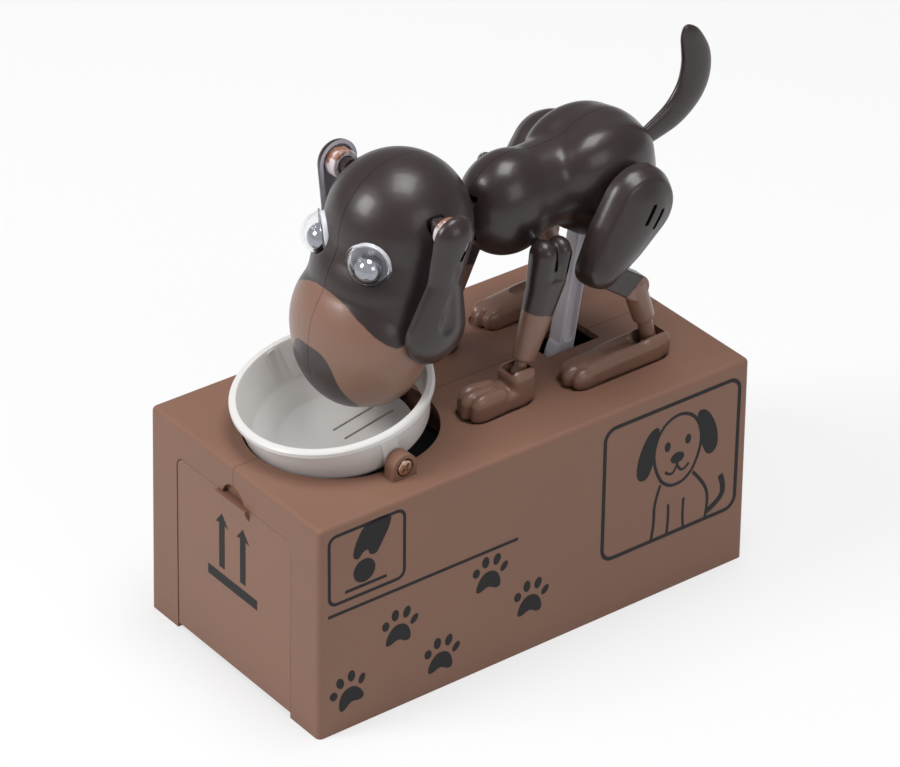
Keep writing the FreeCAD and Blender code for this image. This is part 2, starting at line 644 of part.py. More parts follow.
motor = new_body("motor")
slab(motor, "YZ_Plane", "frame_right_x - motor_long", "frame_right_x",
     ("circle", motor_y, motor_z, "motor_r"))
for low, high in (("motor_flat", "motor_r + 1"), ("-motor_r - 1", "-motor_flat")):
    slab(motor, "YZ_Plane", "frame_right_x - motor_long - 1", "frame_right_x",
         ("box", f"{motor_y} - motor_r - 1", f"{motor_y} + motor_r + 1",
          f"{motor_z} + ({low})", f"{motor_z} + ({high})"), cut=True)
slab(motor, "YZ_Plane", "frame_right_x - 0.5", "frame_right_x + frame_thick",
     ("circle", motor_y, motor_z, "motor_nose_r"))
slab(motor, "YZ_Plane", "frame_right_x - 3.3", "frame_right_x + frame_thick + 1",
     ("circle", motor_y, motor_z, "axle_r + run_gap"), cut=True)


# ---------------------------------------------------------------- drive post

post_rise = "(trunk_y - rocker_y) / (trunk_z - rocker_z)"


def drive_post():
    """The lever that the crank rocks; it comes up through the plate and carries the dog."""
    body = new_body("drive_post")
    half = "post_thick / 2"
    waist_y = f"rocker_y + {post_rise} * (box_high - rocker_z)"
    for outline in (
            ("link", "rocker_y", "rocker_z", "post_base_r", waist_y, "box_high", "post_base_r - 0.6"),
            ("link", waist_y, "box_high", "post_base_r - 0.6", "trunk_y", "trunk_z", "post_top_r")):
        slab(body, "YZ_Plane", f"-{half}", half, outline)
    slab(body, "YZ_Plane", f"-{half} - 1", f"{half} + 1",
         ("circle", "rocker_y", "rocker_z", "rocker_shaft_r + run_gap"), cut=True)
    slab(body, "YZ_Plane", f"-{half} - 1", f"{half} + 1",
         ("circle", "trunk_y", "trunk_z", "rod_r + run_gap"), cut=True)
    reach = "crank_throw + crank_pin_r + free_gap"
    slab(body, "YZ_Plane", f"-{half} - 1", f"{half} + 1",
         ("box", f"crank_y - ({reach})", f"crank_y + {reach}",
          f"crank_z - ({reach}) - 1", f"crank_z + {reach} + 1"), cut=True)
    # the part above the plate is narrower from side to side
    for side in SIDES.values():
        near, far = span(side, f"{half} - 1.3", f"{half} + 1")
        slab(body, "YZ_Plane", near, far,
             ("box", "rocker_y", "trunk_y + 20", "box_high + 14", "trunk_z + 20"), cut=True)
    return body


drive_post()


# ---------------------------------------------------------------- coin chute and bowl

chute = new_body("coin_chute")
chute_back = "partition_y - partition_thick / 2"
slab(chute, "YZ_Plane", "-24", "24", (
    "polygon", (chute_back, "56"), (f"{chute_back} - 2.2", "56"), (f"{chute_back} - 17", "38"),
    (f"{chute_back} - 17", "36"), (f"{chute_back} - 14.9", "36"), (chute_back, "52.6")))


def bowl():
    """The feeding bowl: a turned dish with a slit floor and a coin slot at the back."""
    body = new_body("bowl")
    profile = new_sketch(body, "YZ_Plane", "0")
    inner_lip = "bowl_r - lip_wide"
    floor_out = "bowl_floor_r + bowl_wall * 0.7"
    draw_polygon(
        profile, ("0", "-bowl_deep"), ("bowl_floor_r", "-bowl_deep"),
        ("bowl_waist_r", "-bowl_waist_deep"), (inner_lip, "0"), ("bowl_r", "0"),
        ("bowl_r", "-lip_high"), (f"{inner_lip} + bowl_wall * 0.7", "-lip_high"),
        ("bowl_waist_r + bowl_wall", "-bowl_waist_deep"), (floor_out, "-bowl_deep - bowl_wall"),
        ("0", "-bowl_deep - bowl_wall"))
    dish = body.newObject("PartDesign::Revolution", "dish")
    dish.Profile = profile
    dish.ReferenceAxis = (profile, ["V_Axis"])
    dish.Angle = 360
    doc.recompute()
    # lugs that take the pivot screws, in the bowl's own tilted frame
    tilt = math.radians(value("bowl_tilt"))
    dy, dz = value("tip_y - bowl_y"), value("tip_z - bowl_z")
    lug_y = dy * math.cos(tilt) + dz * math.sin(tilt)
    lug_z = -dy * math.sin(tilt) + dz * math.cos(tilt)
    for side in SIDES.values():
        near, far = span(side, "bowl_waist_r - 0.2", "lug_out")
        slab(body, "YZ_Plane", near, far, ("circle", lug_y, lug_z, "lug_r"))
        near, far = span(side, "bowl_waist_r - 1.4", "lug_out + 1")
        slab(body, "YZ_Plane", near, far, ("circle", lug_y, lug_z, "tip_screw_r + run_gap"), cut=True)
    # coin slot in the rear wall, level with the floor, and the slits beside the tongue
    slab(body, "XZ_Plane", "bowl_floor_r - 3", "bowl_r + 1",
         ("box", "-exit_wide / 2", "exit_wide / 2", "-bowl_deep + 0.01", "-bowl_deep + exit_high"),
         cut=True)
    for side in SIDES.values():
        slab(body, "XY_Plane", "-bowl_deep - bowl_wall - 1", "-bowl_deep + 1",
             ("box", f"{side} * tongue_wide / 2", f"{side} * (tongue_wide / 2 + tongue_slit)",
              "bowl_floor_r - 1.5 - tongue_long", "bowl_floor_r - 1.5"), cut=True)
    body.Placement = FreeCAD.Placement(
        FreeCAD.Vector(0, value("bowl_y"), value("bowl_z")),
        FreeCAD.Rotation(FreeCAD.Vector(1, 0, 0), value("bowl_tilt")))
    return body


dish_body = bowl()
leaf = new_body("tongue_contact")
for side in SIDES.values():
    slab(leaf, "XY_Plane", "-bowl_deep - bowl_wall - 0.3", "-bowl_deep - bowl_wall",
         ("box", f"{side} * (tongue_wide / 2 + tongue_slit + 0.5)",
          f"{side} * (tongue_wide / 2 + tongue_slit + 4)", "-8", "bowl_floor_r - 4"))
slab(leaf, "XY_Plane", "-bowl_deep - bowl_wall - 0.3", "-bowl_deep - bowl_wall",
     ("box", "-tongue_wide / 2 - tongue_slit - 4", "tongue_wide / 2 + tongue_slit + 4",
      "-10", "-7.5"))
leaf.Placement = dish_body.Placement

finish("bowl_screws", group(*[
    fuse(rod_x(*rising(side, "lug_out - 3.2", "boss_out - 0.8"), "tip_y", "tip_z", "tip_screw_r"),
         rod_x(*rising(side, "boss_out - 0.8", "boss_out + 0.2"), "tip_y", "tip_z", "screw_head_r"))
    for side in SIDES.values()]))


# ---------------------------------------------------------------- paws

def paw(kind, name, side, top, heel_top, pivot_y, pivot_z):
    """A foot moulding in its seat, with a fork at the heel for the leg's eye."""
    x, toe_y, toe_r, heel_y, heel_r = paws[kind]
    body = new_body(f"{kind}_paw_{name}")
    slab(body, "XY_Plane", "box_high - recess", top,
         ("link", f"{side} * {x}", toe_y, toe_r, f"{side} * {x}", heel_y, heel_r))
    round_edges(body, "2.4", flat_on("z", top))
    slab(body, "XY_Plane", "box_high - recess", heel_top,
         ("link", f"{side} * {x}", f"{pivot_y} - 0.9", f"{heel_r} - 0.4",
          f"{side} * {x}", heel_y, f"{heel_r} - 0.5"))
    slab(body, "YZ_Plane", f"{side} * {x} - tongue / 2 - free_gap",
         f"{side} * {x} + tongue / 2 + free_gap",
         ("box", f"{pivot_y} - foot_r - 1.6", f"{pivot_y} + foot_r + 3",
          f"{pivot_z} - foot_r - 0.4", f"{heel_top} + 5"), cut=True)
    slab(body, "YZ_Plane", f"{side} * {x} - 8", f"{side} * {x} + 8",
         ("circle", pivot_y, pivot_z, "foot_pin_r + 0.02"), cut=True)
    return body


for name, side in SIDES.items():
    paw("front", name, side, "front_paw_top", "front_heel_top", "ankle_y", "ankle_z")
    paw("hind", name, side, "hind_paw_top", "hind_heel_top", "heel_y", "heel_z")
finish("foot_pins", group(*[
    rod_x(f"{side} * {x} - 4.2", f"{side} * {x} + 4.2", y, z, "foot_pin_r")
    for side in SIDES.values()
    for x, y, z in (("front_paw_x", "ankle_y", "ankle_z"), ("hind_paw_x", "heel_y", "heel_z"))]))


# ---------------------------------------------------------------- legs

def front_leg(name, side):
    """A hollow leg moulding that swings on its foot pin; its head caps the shoulder rod."""
    body = new_body(f"front_leg_{name}")
    near, far = span(side, "leg_in", "leg_out")
    slab(body, "YZ_Plane", near, far, ("link", "shoulder_y", "shoulder_z", "leg_top_r",
                                       "leg_cap_y", "leg_cap_z", "leg_cap_r"))
    round_edges(body, "1.8", flat_on("x", far))
    near, far = span(side, "shaft_in", "leg_out - 0.01")
    slab(body, "YZ_Plane", near, far, ("link", "shaft_y", "shaft_z", "leg_low_r",
                                       "leg_low_y", "leg_low_z", "leg_low_r - 0.01"))
    slab(body, "YZ_Plane", f"{side} * front_paw_x - tongue / 2", f"{side} * front_paw_x + tongue / 2",
         ("link", "leg_low_y", "leg_low_z", "foot_r", "ankle_y", "ankle_z", "foot_r - 0.01"))
    slab(body, "YZ_Plane", f"{side} * front_paw_x - 4", f"{side} * front_paw_x + 4",
         ("circle", "ankle_y", "ankle_z", "foot_pin_r + run_gap"), cut=True)
    near, far = span(side, "leg_in - 1", "leg_out - leg_skin")
    slab(body, "YZ_Plane", near, far,
         ("link", "shoulder_y", "shoulder_z", "leg_top_r - leg_skin",
          "leg_cap_y", "leg_cap_z", "leg_cap_r - leg_skin"), cut=True)
    return body


def hind_leg(name, side):
    """The thigh shell, open on its inner side, and the bent shank that folds under it."""
    thigh = new_body(f"thigh_{name}")
    near, far = span(side, "thigh_in", "thigh_out")
    slab(thigh, "YZ_Plane", near, far,
         ("link", "thigh_y", "thigh_z", "thigh_r", "knee_y", "knee_z", "knee_r"))
    round_edges(thigh, "4.2", flat_on("x", far))
    near, far = span(side, "thigh_in - 1", "thigh_out - thigh_skin")
    slab(thigh, "YZ_Plane", near, far,
         ("link", "thigh_y", "thigh_z", "thigh_r - thigh_skin", "knee_y", "knee_z",
          "knee_r - thigh_skin"), cut=True)
    # hip collar, knee stud, and the gap in the rim where the shank comes out
    near, far = span(side, "thigh_in + 1.6", "thigh_out - thigh_skin + 0.3")
    slab(thigh, "YZ_Plane", near, far, ("circle", "hip_y", "hip_z", "rod_r + open_gap + 1.6"))
    near, far = span(side, "thigh_in + 1", "thigh_out - thigh_skin")
    slab(thigh, "YZ_Plane", near, far, ("circle", "hip_y", "hip_z", "rod_r + open_gap"), cut=True)
    near, far = span(side, "knee_tongue_in", "thigh_out - thigh_skin + 0.3")
    slab(thigh, "YZ_Plane", near, far, ("circle", "knee_y", "knee_z", "rod_r"))
    near, far = span(side, "thigh_in - 1", "shank_out + 0.7")
    slab(thigh, "YZ_Plane", near, far, (
        "polygon", ("knee_y - 5.5", "knee_z - 8"), ("knee_y + 18", "knee_z - 16"),
        ("knee_y + 20", "knee_z + 3.6"), ("knee_y + 6.6", "knee_z + 3.6")), cut=True)

    shank = new_body(f"shank_{name}")
    near, far = span(side, "knee_tongue_in", "shank_out")
    slab(shank, "YZ_Plane", near, far,
         ("link", "knee_y", "knee_z", "knee_eye_r", "hock_y", "hock_z", "hock_r - 0.2"))
    near, far = span(side, "shank_in", "shank_out")
    slab(shank, "YZ_Plane", near, far,
         ("link", "hock_y", "hock_z", "hock_r", "shin_y", "shin_z", "shin_r"))
    round_edges(shank, "1.6", flat_on("x", far))
    slab(shank, "YZ_Plane", f"{side} * hind_paw_x - tongue / 2", f"{side} * hind_paw_x + tongue / 2",
         ("link", "shin_y", "shin_z", "foot_r", "heel_y", "heel_z", "foot_r - 0.01"))
    slab(shank, "YZ_Plane", f"{side} * hind_paw_x - 4", f"{side} * hind_paw_x + 4",
         ("circle", "heel_y", "heel_z", "foot_pin_r + run_gap"), cut=True)
    near, far = span(side, "knee_tongue_in - 1", "shank_out + 1")
    slab(shank, "YZ_Plane", near, far, ("circle", "knee_y", "knee_z", "rod_r + run_gap"), cut=True)


for name, side in SIDES.items():
    front_leg(name, side)
    hind_leg(name, side)


# ---------------------------------------------------------------- trunk

def half_space(side, y0, y1):
    """A block that holds everything on one side of the middle plane."""
    return block(*rising(side, "0", "60"), y0, y1, "box_high - 8", "box_high + 102")


def trunk_lobes(inset):
    """Chest, waist and rump, optionally smaller all round."""
    waist = doc.addObject("Part::Cylinder", "waist")
    bind(waist, Radius=f"waist_r - {inset}", Height="rump_y - chest_y")
    move(waist, "0", "chest_y", "chest_z + 2", ALONG_Y)
    return fuse(
        lobe("chest_y", "chest_z", "chest_half_x", "chest_half_y", "chest_half_z", inset),
        waist, lobe("rump_y", "rump_z", "rump_half_x", "rump_half_y", "rump_half_z", inset))


trunk_outer = trunk_lobes("0")
trunk_posts = (("17.5", "box_high + 61"), ("40", "box_high + 62"), ("trunk_y", "trunk_z"),
               ("shoulder_y", "shoulder_z"), ("hip_y", "hip_z"))
trunk_shell = carve(trunk_outer, trunk_lobes("shell"))
neck_slot = block("-neck_thick / 2 - free_gap", "neck_thick / 2 + free_gap", "-10", "8",
                  "neck_z - neck_r - 4", "neck_z + neck_r + 1")
belly_slot = block("-post_thick / 2 - 0.8", "post_thick / 2 + 0.8", "34", "53",
                   "trunk_z - 17", "trunk_z - 5")
tail_slot = block("-tail_thick / 2 - free_gap", "tail_thick / 2 + free_gap", "tail_y - 5", "75",
                  "tail_z - 6", "tail_z + 7")
for name, side in SIDES.items():
    reach = rising(side, "post_thick / 2 + 0.3", "30")
    posts = [common(trunk_outer, rod_x(*reach, y, z, "2.9")) for y, z in trunk_posts]
    reach = rising(side, "tail_thick / 2 + free_gap", "30")
    posts.append(common(trunk_outer, rod_x(*reach, "tail_y", "tail_z", "2.4")))
    shell = carve(fuse(trunk_shell, *posts), neck_slot, belly_slot, tail_slot)
    for y, z in (("trunk_y", "trunk_z"), ("shoulder_y", "shoulder_z"), ("hip_y", "hip_z")):
        shell = carve(shell, rod_x("-30", "30", y, z, "rod_r + 0.02"))
    shell = carve(shell, rod_x("-6.1", "6.1", "tail_y", "tail_z", "axle_r + 0.02"))
    for y, z in trunk_posts[:2]:
        shell = carve(shell, rod_x("-11", "8", y, z, "screw_r"))
        shell = carve(shell, rod_x("-30", "-10", y, z, "screw_head_r"))
    finish(f"body_{name}", common(shell, half_space(side, "-10", "80")))
finish("body_screws", group(*[
    fuse(rod_x("-10", "8", y, z, "screw_r - 0.05"), rod_x("-11", "-10", y, z, "screw_head_r - 0.1"))
    for y, z in trunk_posts[:2]]))
finish("body_pin", rod_x("-9", "9", "trunk_y", "trunk_z", "rod_r"))
finish("shoulder_pin", rod_x("-leg_out + leg_skin + 0.5", "leg_out - leg_skin - 0.5",
                             "shoulder_y", "shoulder_z", "rod_r"))
finish("hip_pin", rod_x("-thigh_out + thigh_skin + 0.5", "thigh_out - thigh_skin - 0.5",
                        "hip_y", "hip_z", "rod_r"))

neck = new_body("neck_arm")
slab(neck, "YZ_Plane", "-neck_thick / 2", "neck_thick / 2",
     ("link", "neck_y", "neck_z", "neck_r", "8", "neck_z - 1", "neck_r - 0.4"))
slab(neck, "YZ_Plane", "-neck_thick", "neck_thick",
     ("circle", "neck_y", "neck_z", "rod_r + run_gap"), cut=True)
finish("neck_pin", rod_x("-9", "9", "neck_y", "neck_z", "rod_r"))


def blade():
    """The tail: a chain of links that rises from its eye and curls back at the tip."""
    body = new_body("tail")
    stations = [("tail_y", "tail_z", "tail_eye_r")] + [
        (f"tail_y + {out}", f"tail_z + {up}", radius) for out, up, radius in (
            (12.0, 4.2, "4.4"), (19.3, 9.4, "5.4"), (22.3, 17.8, "6.0"), (20.9, 26.2, "4.6"),
            (18.1, 31.2, "2.4"))]
    for start, end in zip(stations, stations[1:]):
        slab(body, "YZ_Plane", "-tail_thick / 2", "tail_thick / 2", ("link", *start, *end))
    slab(body, "YZ_Plane", "-tail_thick", "tail_thick",
         ("circle", "tail_y", "tail_z", "axle_r + run_gap"), cut=True)
    return body


blade()
finish("tail_pin", rod_x("-6", "6", "tail_y", "tail_z", "axle_r"))


# ---------------------------------------------------------------- head

def head_lobes(inset):
    """Skull, brow and muzzle, optionally smaller all round."""
    return fuse(
        lobe("skull_y", "skull_z", "skull_r", "skull_r", "skull_r", inset),
        lobe("brow_y", "brow_z", "brow_half_x", "brow_half_y", "brow_half_z", inset),
        lobe("muzzle_y", "muzzle_z", "muzzle_half_x", "muzzle_half_y", "muzzle_half_z", inset))


head_outer = head_lobes("0")
head_shell = carve(head_outer, head_lobes("shell"))
head_slot = block("-neck_thick / 2 - free_gap", "neck_thick / 2 + free_gap", "-12", "6",
                  "neck_z - neck_r - 5", "neck_z + neck_r + 4")


def facing(side):
    """The turn that points a +Z part along the eye's outward direction."""
    out = FreeCAD.Vector(side * value("eye_x"), value("eye_y - skull_y"), value("eye_z - skull_z"))
    return FreeCAD.Rotation(FreeCAD.Vector(0, 0, 1), out)


def half_ball(side, radius, low, high):
    """Part of a ball at the eye's centre, cut by a latitude each way."""
    item = doc.addObject("Part::Sphere", "half_ball")
    bind(item, Radius=radius)
    item.Angle1 = low
    item.Angle2 = high
    move(item, f"{side} * eye_x", "eye_y", "eye_z", facing(side))
    return item


def ear_turn(side, swing):
    """The ear pin's turn: the ear leans in at its lower end and swings forward."""
    lean = FreeCAD.Rotation(FreeCAD.Vector(0, 1, 0), side * value("ear_lean_in"))
    return lean.multiply(FreeCAD.Rotation(FreeCAD.Vector(1, 0, 0), -swing))


def ear_rod(side, start, end, radius):
    """A round bar on the ear pin's axis, counted outwards from the ear's inner face."""
    rod = doc.addObject("Part::Cylinder", "ear_rod")
    bind(rod, Radius=radius, Height=f"({end}) - ({start})")
    turn = ear_turn(side, 0)
    out = turn.multVec(FreeCAD.Vector(side, 0, 0))
    centre = FreeCAD.Vector(side * value("ear_x"), value("ear_y"), value("ear_z"))
    rod.Placement = FreeCAD.Placement(
        centre + out * value(start), FreeCAD.Rotation(FreeCAD.Vector(0, 0, 1), out))
    return rod


for name, side in SIDES.items():
    reach = rising(side, "neck_thick / 2 + free_gap", "30")
    neck_post = common(head_outer, rod_x(*reach, "neck_y", "neck_z", "3"))
    shell = carve(fuse(head_shell, neck_post), head_slot,
                rod_x("-9.2", "9.2", "neck_y", "neck_z", "rod_r + 0.02"),
                ball(f"{side} * eye_x", "eye_y", "eye_z", "eye_r + 0.05"),
                ear_rod(side, "-12", "4", "rod_r + 0.02"), ear_rod(side, "-5.3", "2", "2.62"))
    finish(f"head_{name}", common(shell, half_space(side, "-70", "10")))
    hollow = ball(f"{side} * eye_x", "eye_y", "eye_z", "eye_r - eye_skin")
    finish(f"eye_cup_{name}", carve(half_ball(side, "eye_r", -90, 0), hollow))
    finish(f"eye_dome_{name}", carve(half_ball(side, "eye_r", 0, 90), hollow))
    finish(f"eye_ball_{name}", ball(f"{side} * eye_x", "eye_y", "eye_z - 1.2", "ball_r"))
    finish(f"ear_pin_{name}", fuse(ear_rod(side, "-9", "ear_pin_out", "rod_r"),
                                   ear_rod(side, "-5.2", "-free_gap", "2.6")))


def ear(name, side, swing):
    """A hollow ear that hangs from its pin, open towards the head."""
    body = new_body(f"ear_{name}")
    drop = ("link", "0", "0", "ear_top_r", "0", "-ear_drop", "ear_low_r")
    near, far = span(side, "1", "ear_thick + 1")
    slab(body, "YZ_Plane", near, far, drop)
    round_edges(body, "2.6", flat_on("x", far))
    near, far = span(side, "0", "ear_thick + 1 - ear_skin")
    slab(body, "YZ_Plane", near, far,
         ("link", "0", "0", "ear_top_r - ear_skin", "0", "-ear_drop", "ear_low_r - ear_skin"),
         cut=True)
    near, far = span(side, "0", "ear_thick + 0.5")
    slab(body, "YZ_Plane", near, far, ("circle", "0", "0", "ear_boss_r"))
    near, far = span(side, "-1", "ear_pin_out + 0.2")
    slab(body, "YZ_Plane", near, far, ("circle", "0", "0", "rod_r + run_gap"), cut=True)
    body.Placement = FreeCAD.Placement(
        FreeCAD.Vector(side * value("ear_x"), value("ear_y"), value("ear_z")),
        ear_turn(side, swing))


ear("left", SIDES["left"], SWING_LEFT_EAR)
ear("right", SIDES["right"], SWING_RIGHT_EAR)


# ---------------------------------------------------------------- check and export

doc.recompute()
for item in doc.Objects:
    if "Invalid" in item.State or "Error" in item.State:
        raise RuntimeError(f"{item.Label} did not build")
for label, item in finished.items():
    if item.Shape.isNull() or not item.Shape.isValid() or not item.Shape.Solids:
        raise RuntimeError(f"{label} has no sound solid")
for label, item in finished.items():
    item.Shape.exportStep(f"parts/{label}.step")
    print(label, len(item.Shape.Solids), round(item.Shape.Volume, 2))
print(len(finished), "nodes")
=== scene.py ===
import math

import bmesh
import bpy
from mathutils import Matrix, Vector


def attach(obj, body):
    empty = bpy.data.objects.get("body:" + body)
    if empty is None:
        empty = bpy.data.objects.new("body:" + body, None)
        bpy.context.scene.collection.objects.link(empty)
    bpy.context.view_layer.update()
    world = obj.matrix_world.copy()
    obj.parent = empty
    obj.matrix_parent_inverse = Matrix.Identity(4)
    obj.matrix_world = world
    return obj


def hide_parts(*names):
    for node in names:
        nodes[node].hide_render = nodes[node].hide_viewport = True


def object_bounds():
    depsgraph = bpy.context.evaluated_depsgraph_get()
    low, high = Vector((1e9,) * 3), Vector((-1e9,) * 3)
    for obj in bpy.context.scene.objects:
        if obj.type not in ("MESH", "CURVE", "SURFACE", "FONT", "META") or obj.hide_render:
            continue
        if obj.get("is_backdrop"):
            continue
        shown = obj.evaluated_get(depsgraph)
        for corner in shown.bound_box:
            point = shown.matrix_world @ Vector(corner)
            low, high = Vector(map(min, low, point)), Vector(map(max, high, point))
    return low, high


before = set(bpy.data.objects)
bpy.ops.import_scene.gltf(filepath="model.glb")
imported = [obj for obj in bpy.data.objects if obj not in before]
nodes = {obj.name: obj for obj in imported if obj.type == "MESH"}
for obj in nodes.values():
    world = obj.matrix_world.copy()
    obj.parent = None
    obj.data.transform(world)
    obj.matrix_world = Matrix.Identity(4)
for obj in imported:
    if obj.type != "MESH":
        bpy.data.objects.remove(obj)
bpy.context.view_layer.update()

# ------------------------------------------------------------------ box
# The box is two halves moulded in brown styrene with a fine sparked grain. They meet on a
# seam down the middle of the lid, the ends and the floor, and are screwed from the right.

MM = 0.001


class Wire:
    """A socket on which arithmetic adds the nodes that do it."""

    def __init__(self, finish, socket):
        self.finish = finish
        self.socket = socket

    def math(self, operation, *values, clamp=False):
        return self.finish.node("ShaderNodeMath", {"operation": operation, "use_clamp": clamp},
                                dict(enumerate(values)))

    def __add__(self, other):
        return self.math("ADD", self, other)

    def __sub__(self, other):
        return self.math("SUBTRACT", self, other)

    def __rsub__(self, other):
        return self.math("SUBTRACT", other, self)

    def __mul__(self, other):
        return self.math("MULTIPLY", self, other)

    def __truediv__(self, other):
        return self.math("DIVIDE", self, other)

    def __abs__(self):
        return self.math("ABSOLUTE", self)

    def over(self, level, soft):
        """1 above the level, 0 below it, turning over a soft edge that wide."""
        return self.math("MULTIPLY_ADD", self - level, 1 / soft, 0.5, clamp=True)

    def at_least(self, other):
        return self.math("MAXIMUM", self, other)

    __radd__ = __add__
    __rmul__ = __mul__


class Finish:
    """A procedural material, built one node at a time."""

    def __init__(self, name):
        self.material = bpy.data.materials.new(name)
        self.material.use_nodes = True
        self.tree = self.material.node_tree
        self.tree.nodes.clear()

    def node(self, kind, settings=None, sockets=None, output=0):
        """Add a node, set it, then give its sockets their values or links."""
        made = self.tree.nodes.new(kind)
        for key, setting in (settings or {}).items():
            setattr(made, key, setting)
        for key, value in (sockets or {}).items():
            if isinstance(value, Wire):
                self.tree.links.new(value.socket, made.inputs[key])
            else:
                made.inputs[key].default_value = value
        return Wire(self, made.outputs[output]) if made.outputs else None


def paint(red, green, blue):
    """A colour given as red, green and blue from 0 to 255, as linear light."""
    return tuple(((c / 255 + 0.055) / 1.055) ** 2.4 if c > 10 else c / 3294
                 for c in (red, green, blue)) + (1.0,)


def shade(colour, by):
    """The same colour, lighter or darker."""
    return tuple(min(1.0, c * by) for c in colour[:3]) + (1.0,)


def mixed(finish, factor, first, second):
    """One colour turning into another."""
    return finish.node("ShaderNodeMix", {"data_type": "RGBA"}, {0: factor, 6: first, 7: second}, 2)


def moulded(name, colour, roughness, grain=1.0, coats=None, cloudy=0.07, coat=0.0, metal=0.0,
            shine=0.5):
    """Moulded plastic or plated metal: a slightly cloudy tone, uneven sheen and a fine grain.

    coats gives sprayed colours, each a mask made from x, y and z in millimetres."""
    finish = Finish(name)
    place = finish.node("ShaderNodeTexCoord", output=3)
    cloud = finish.node("ShaderNodeTexNoise", {}, {"Vector": place, "Scale": 38.0, "Detail": 3.0})
    flow = finish.node("ShaderNodeTexNoise", {}, {"Vector": place, "Scale": 420.0, "Detail": 2.0})
    spark = finish.node("ShaderNodeTexNoise", {}, {"Vector": place, "Scale": 2400.0, "Detail": 1.0})
    tone = mixed(finish, cloud, shade(colour, 1 - cloudy), shade(colour, 1 + cloudy))
    height = spark * 0.6 + flow * 0.4
    axes = [finish.node("ShaderNodeSeparateXYZ", {}, {0: place}, axis) * 1000.0
            for axis in range(3)]
    for mask, sprayed in (coats(*axes, flow) if coats else ()):
        fresh = mixed(finish, cloud, shade(sprayed, 1 - cloudy), shade(sprayed, 1 + cloudy))
        tone = mixed(finish, mask, tone, fresh)
    bump = finish.node("ShaderNodeBump", {}, {
        "Strength": 0.35, "Distance": 0.00006 * grain, "Height": height})
    sheen = roughness + (flow - 0.5) * 0.10 + (cloud - 0.5) * 0.08
    shader = finish.node("ShaderNodeBsdfPrincipled", {}, {
        "Base Color": tone, "Roughness": sheen, "Normal": bump, "Metallic": metal,
        "Coat Weight": coat, "Coat Roughness": 0.12, "IOR": 1.5,
        "Specular IOR Level": shine})
    finish.node("ShaderNodeOutputMaterial", {}, {"Surface": shader})
    return finish.material


BROWN = paint(130, 96, 80)
SEAM_HALF = 0.13
SIDES = (("left", 1), ("right", -1))


def lid_seam(x, y, z, flow):
    """The fine dark joint between the two halves."""
    return [(1 - abs(x).over(SEAM_HALF, 0.06), shade(BROWN, 0.42))]


def wear(node, material):
    """Give a CAD node its finish."""
    nodes[node].data.materials.clear()
    nodes[node].data.materials.append(material)


brown_box = moulded("brown_box", BROWN, 0.47, coats=lid_seam, shine=0.25)
for side, sign in SIDES:
    wear(f"housing_{side}", brown_box)

# ------------------------------------------------------------------ box screws
# Five plated self-tapping screws hold the halves together. They sit deep in bores in the
# right-hand wall, with crossed recesses; two smaller ones close the dog's trunk.

steel = moulded("plated_steel", paint(176, 176, 180), 0.30, grain=0.5, metal=1.0)
brass = moulded("bronzed_screw", paint(196, 168, 146), 0.3, grain=0.5, metal=1.0)


def ball_of(centre, half):
    """An egg with three half sizes, in millimetres."""
    bm = bmesh.new()
    place = Matrix.Translation(centre) @ Matrix.Diagonal((*half, 1.0))
    bmesh.ops.create_uvsphere(bm, u_segments=40, v_segments=24, radius=1.0, matrix=place)
    return bm


def brick(low, high, rounding=0.0):
    """A block between two corners, with its edges rounded."""
    bm = bmesh.new()
    low, high = Vector(map(min, low, high)), Vector(map(max, low, high))
    place = Matrix.Translation((low + high) / 2) @ Matrix.Diagonal((*(high - low), 1.0))
    bmesh.ops.create_cube(bm, size=1.0, matrix=place)
    if rounding:
        bmesh.ops.bevel(bm, geom=bm.edges[:], offset=rounding, affect="EDGES", segments=3,
                        profile=0.5, material=-1)
    return bm


def rod(start, end, start_r, end_r=None, rounding=0.0, sides=32):
    """A round bar or cone between two points, with its ends' edges rounded."""
    bm = bmesh.new()
    start, end = Vector(start), Vector(end)
    along = end - start
    place = (Matrix.Translation((start + end) / 2)
             @ along.to_track_quat("Z", "Y").to_matrix().to_4x4())
    bmesh.ops.create_cone(bm, cap_ends=True, segments=sides, radius1=start_r,
                          radius2=start_r if end_r is None else end_r, depth=along.length,
                          matrix=place)
    if rounding:
        rims = [e for e in bm.edges if any(len(f.verts) > 4 for f in e.link_faces)]
        bmesh.ops.bevel(bm, geom=rims, offset=rounding, affect="EDGES", segments=3,
                        profile=0.5, material=-1)
    return bm


def together(*lumps):
    """Several bmeshes as one."""
    bm = bmesh.new()
    for lump in lumps:
        part = bpy.data.meshes.new("lump")
        lump.to_mesh(part)
        lump.free()
        bm.from_mesh(part)
        bpy.data.meshes.remove(part)
    return bm


def cast(bm, finish=None):
    """A closed mesh from a bmesh, in one finish."""
    bmesh.ops.remove_doubles(bm, verts=bm.verts, dist=1e-4)
    bmesh.ops.recalc_face_normals(bm, faces=bm.faces)
    mesh = bpy.data.meshes.new("part")
    bm.to_mesh(mesh)
    bm.free()
    if finish:
        mesh.materials.append(finish)
    return mesh


def worked(mesh, *steps):
    """The mesh after a row of modifiers, each a kind with its settings."""
    blank = bpy.data.objects.new("blank", mesh)
    bpy.context.scene.collection.objects.link(blank)
    for kind, settings in steps:
        step = blank.modifiers.new(kind, kind)
        for key, setting in settings.items():
            setattr(step, key, setting)
    bpy.context.view_layer.update()
    graph = bpy.context.evaluated_depsgraph_get()
    result = bpy.data.meshes.new_from_object(blank.evaluated_get(graph))
    bpy.data.objects.remove(blank)
    return result


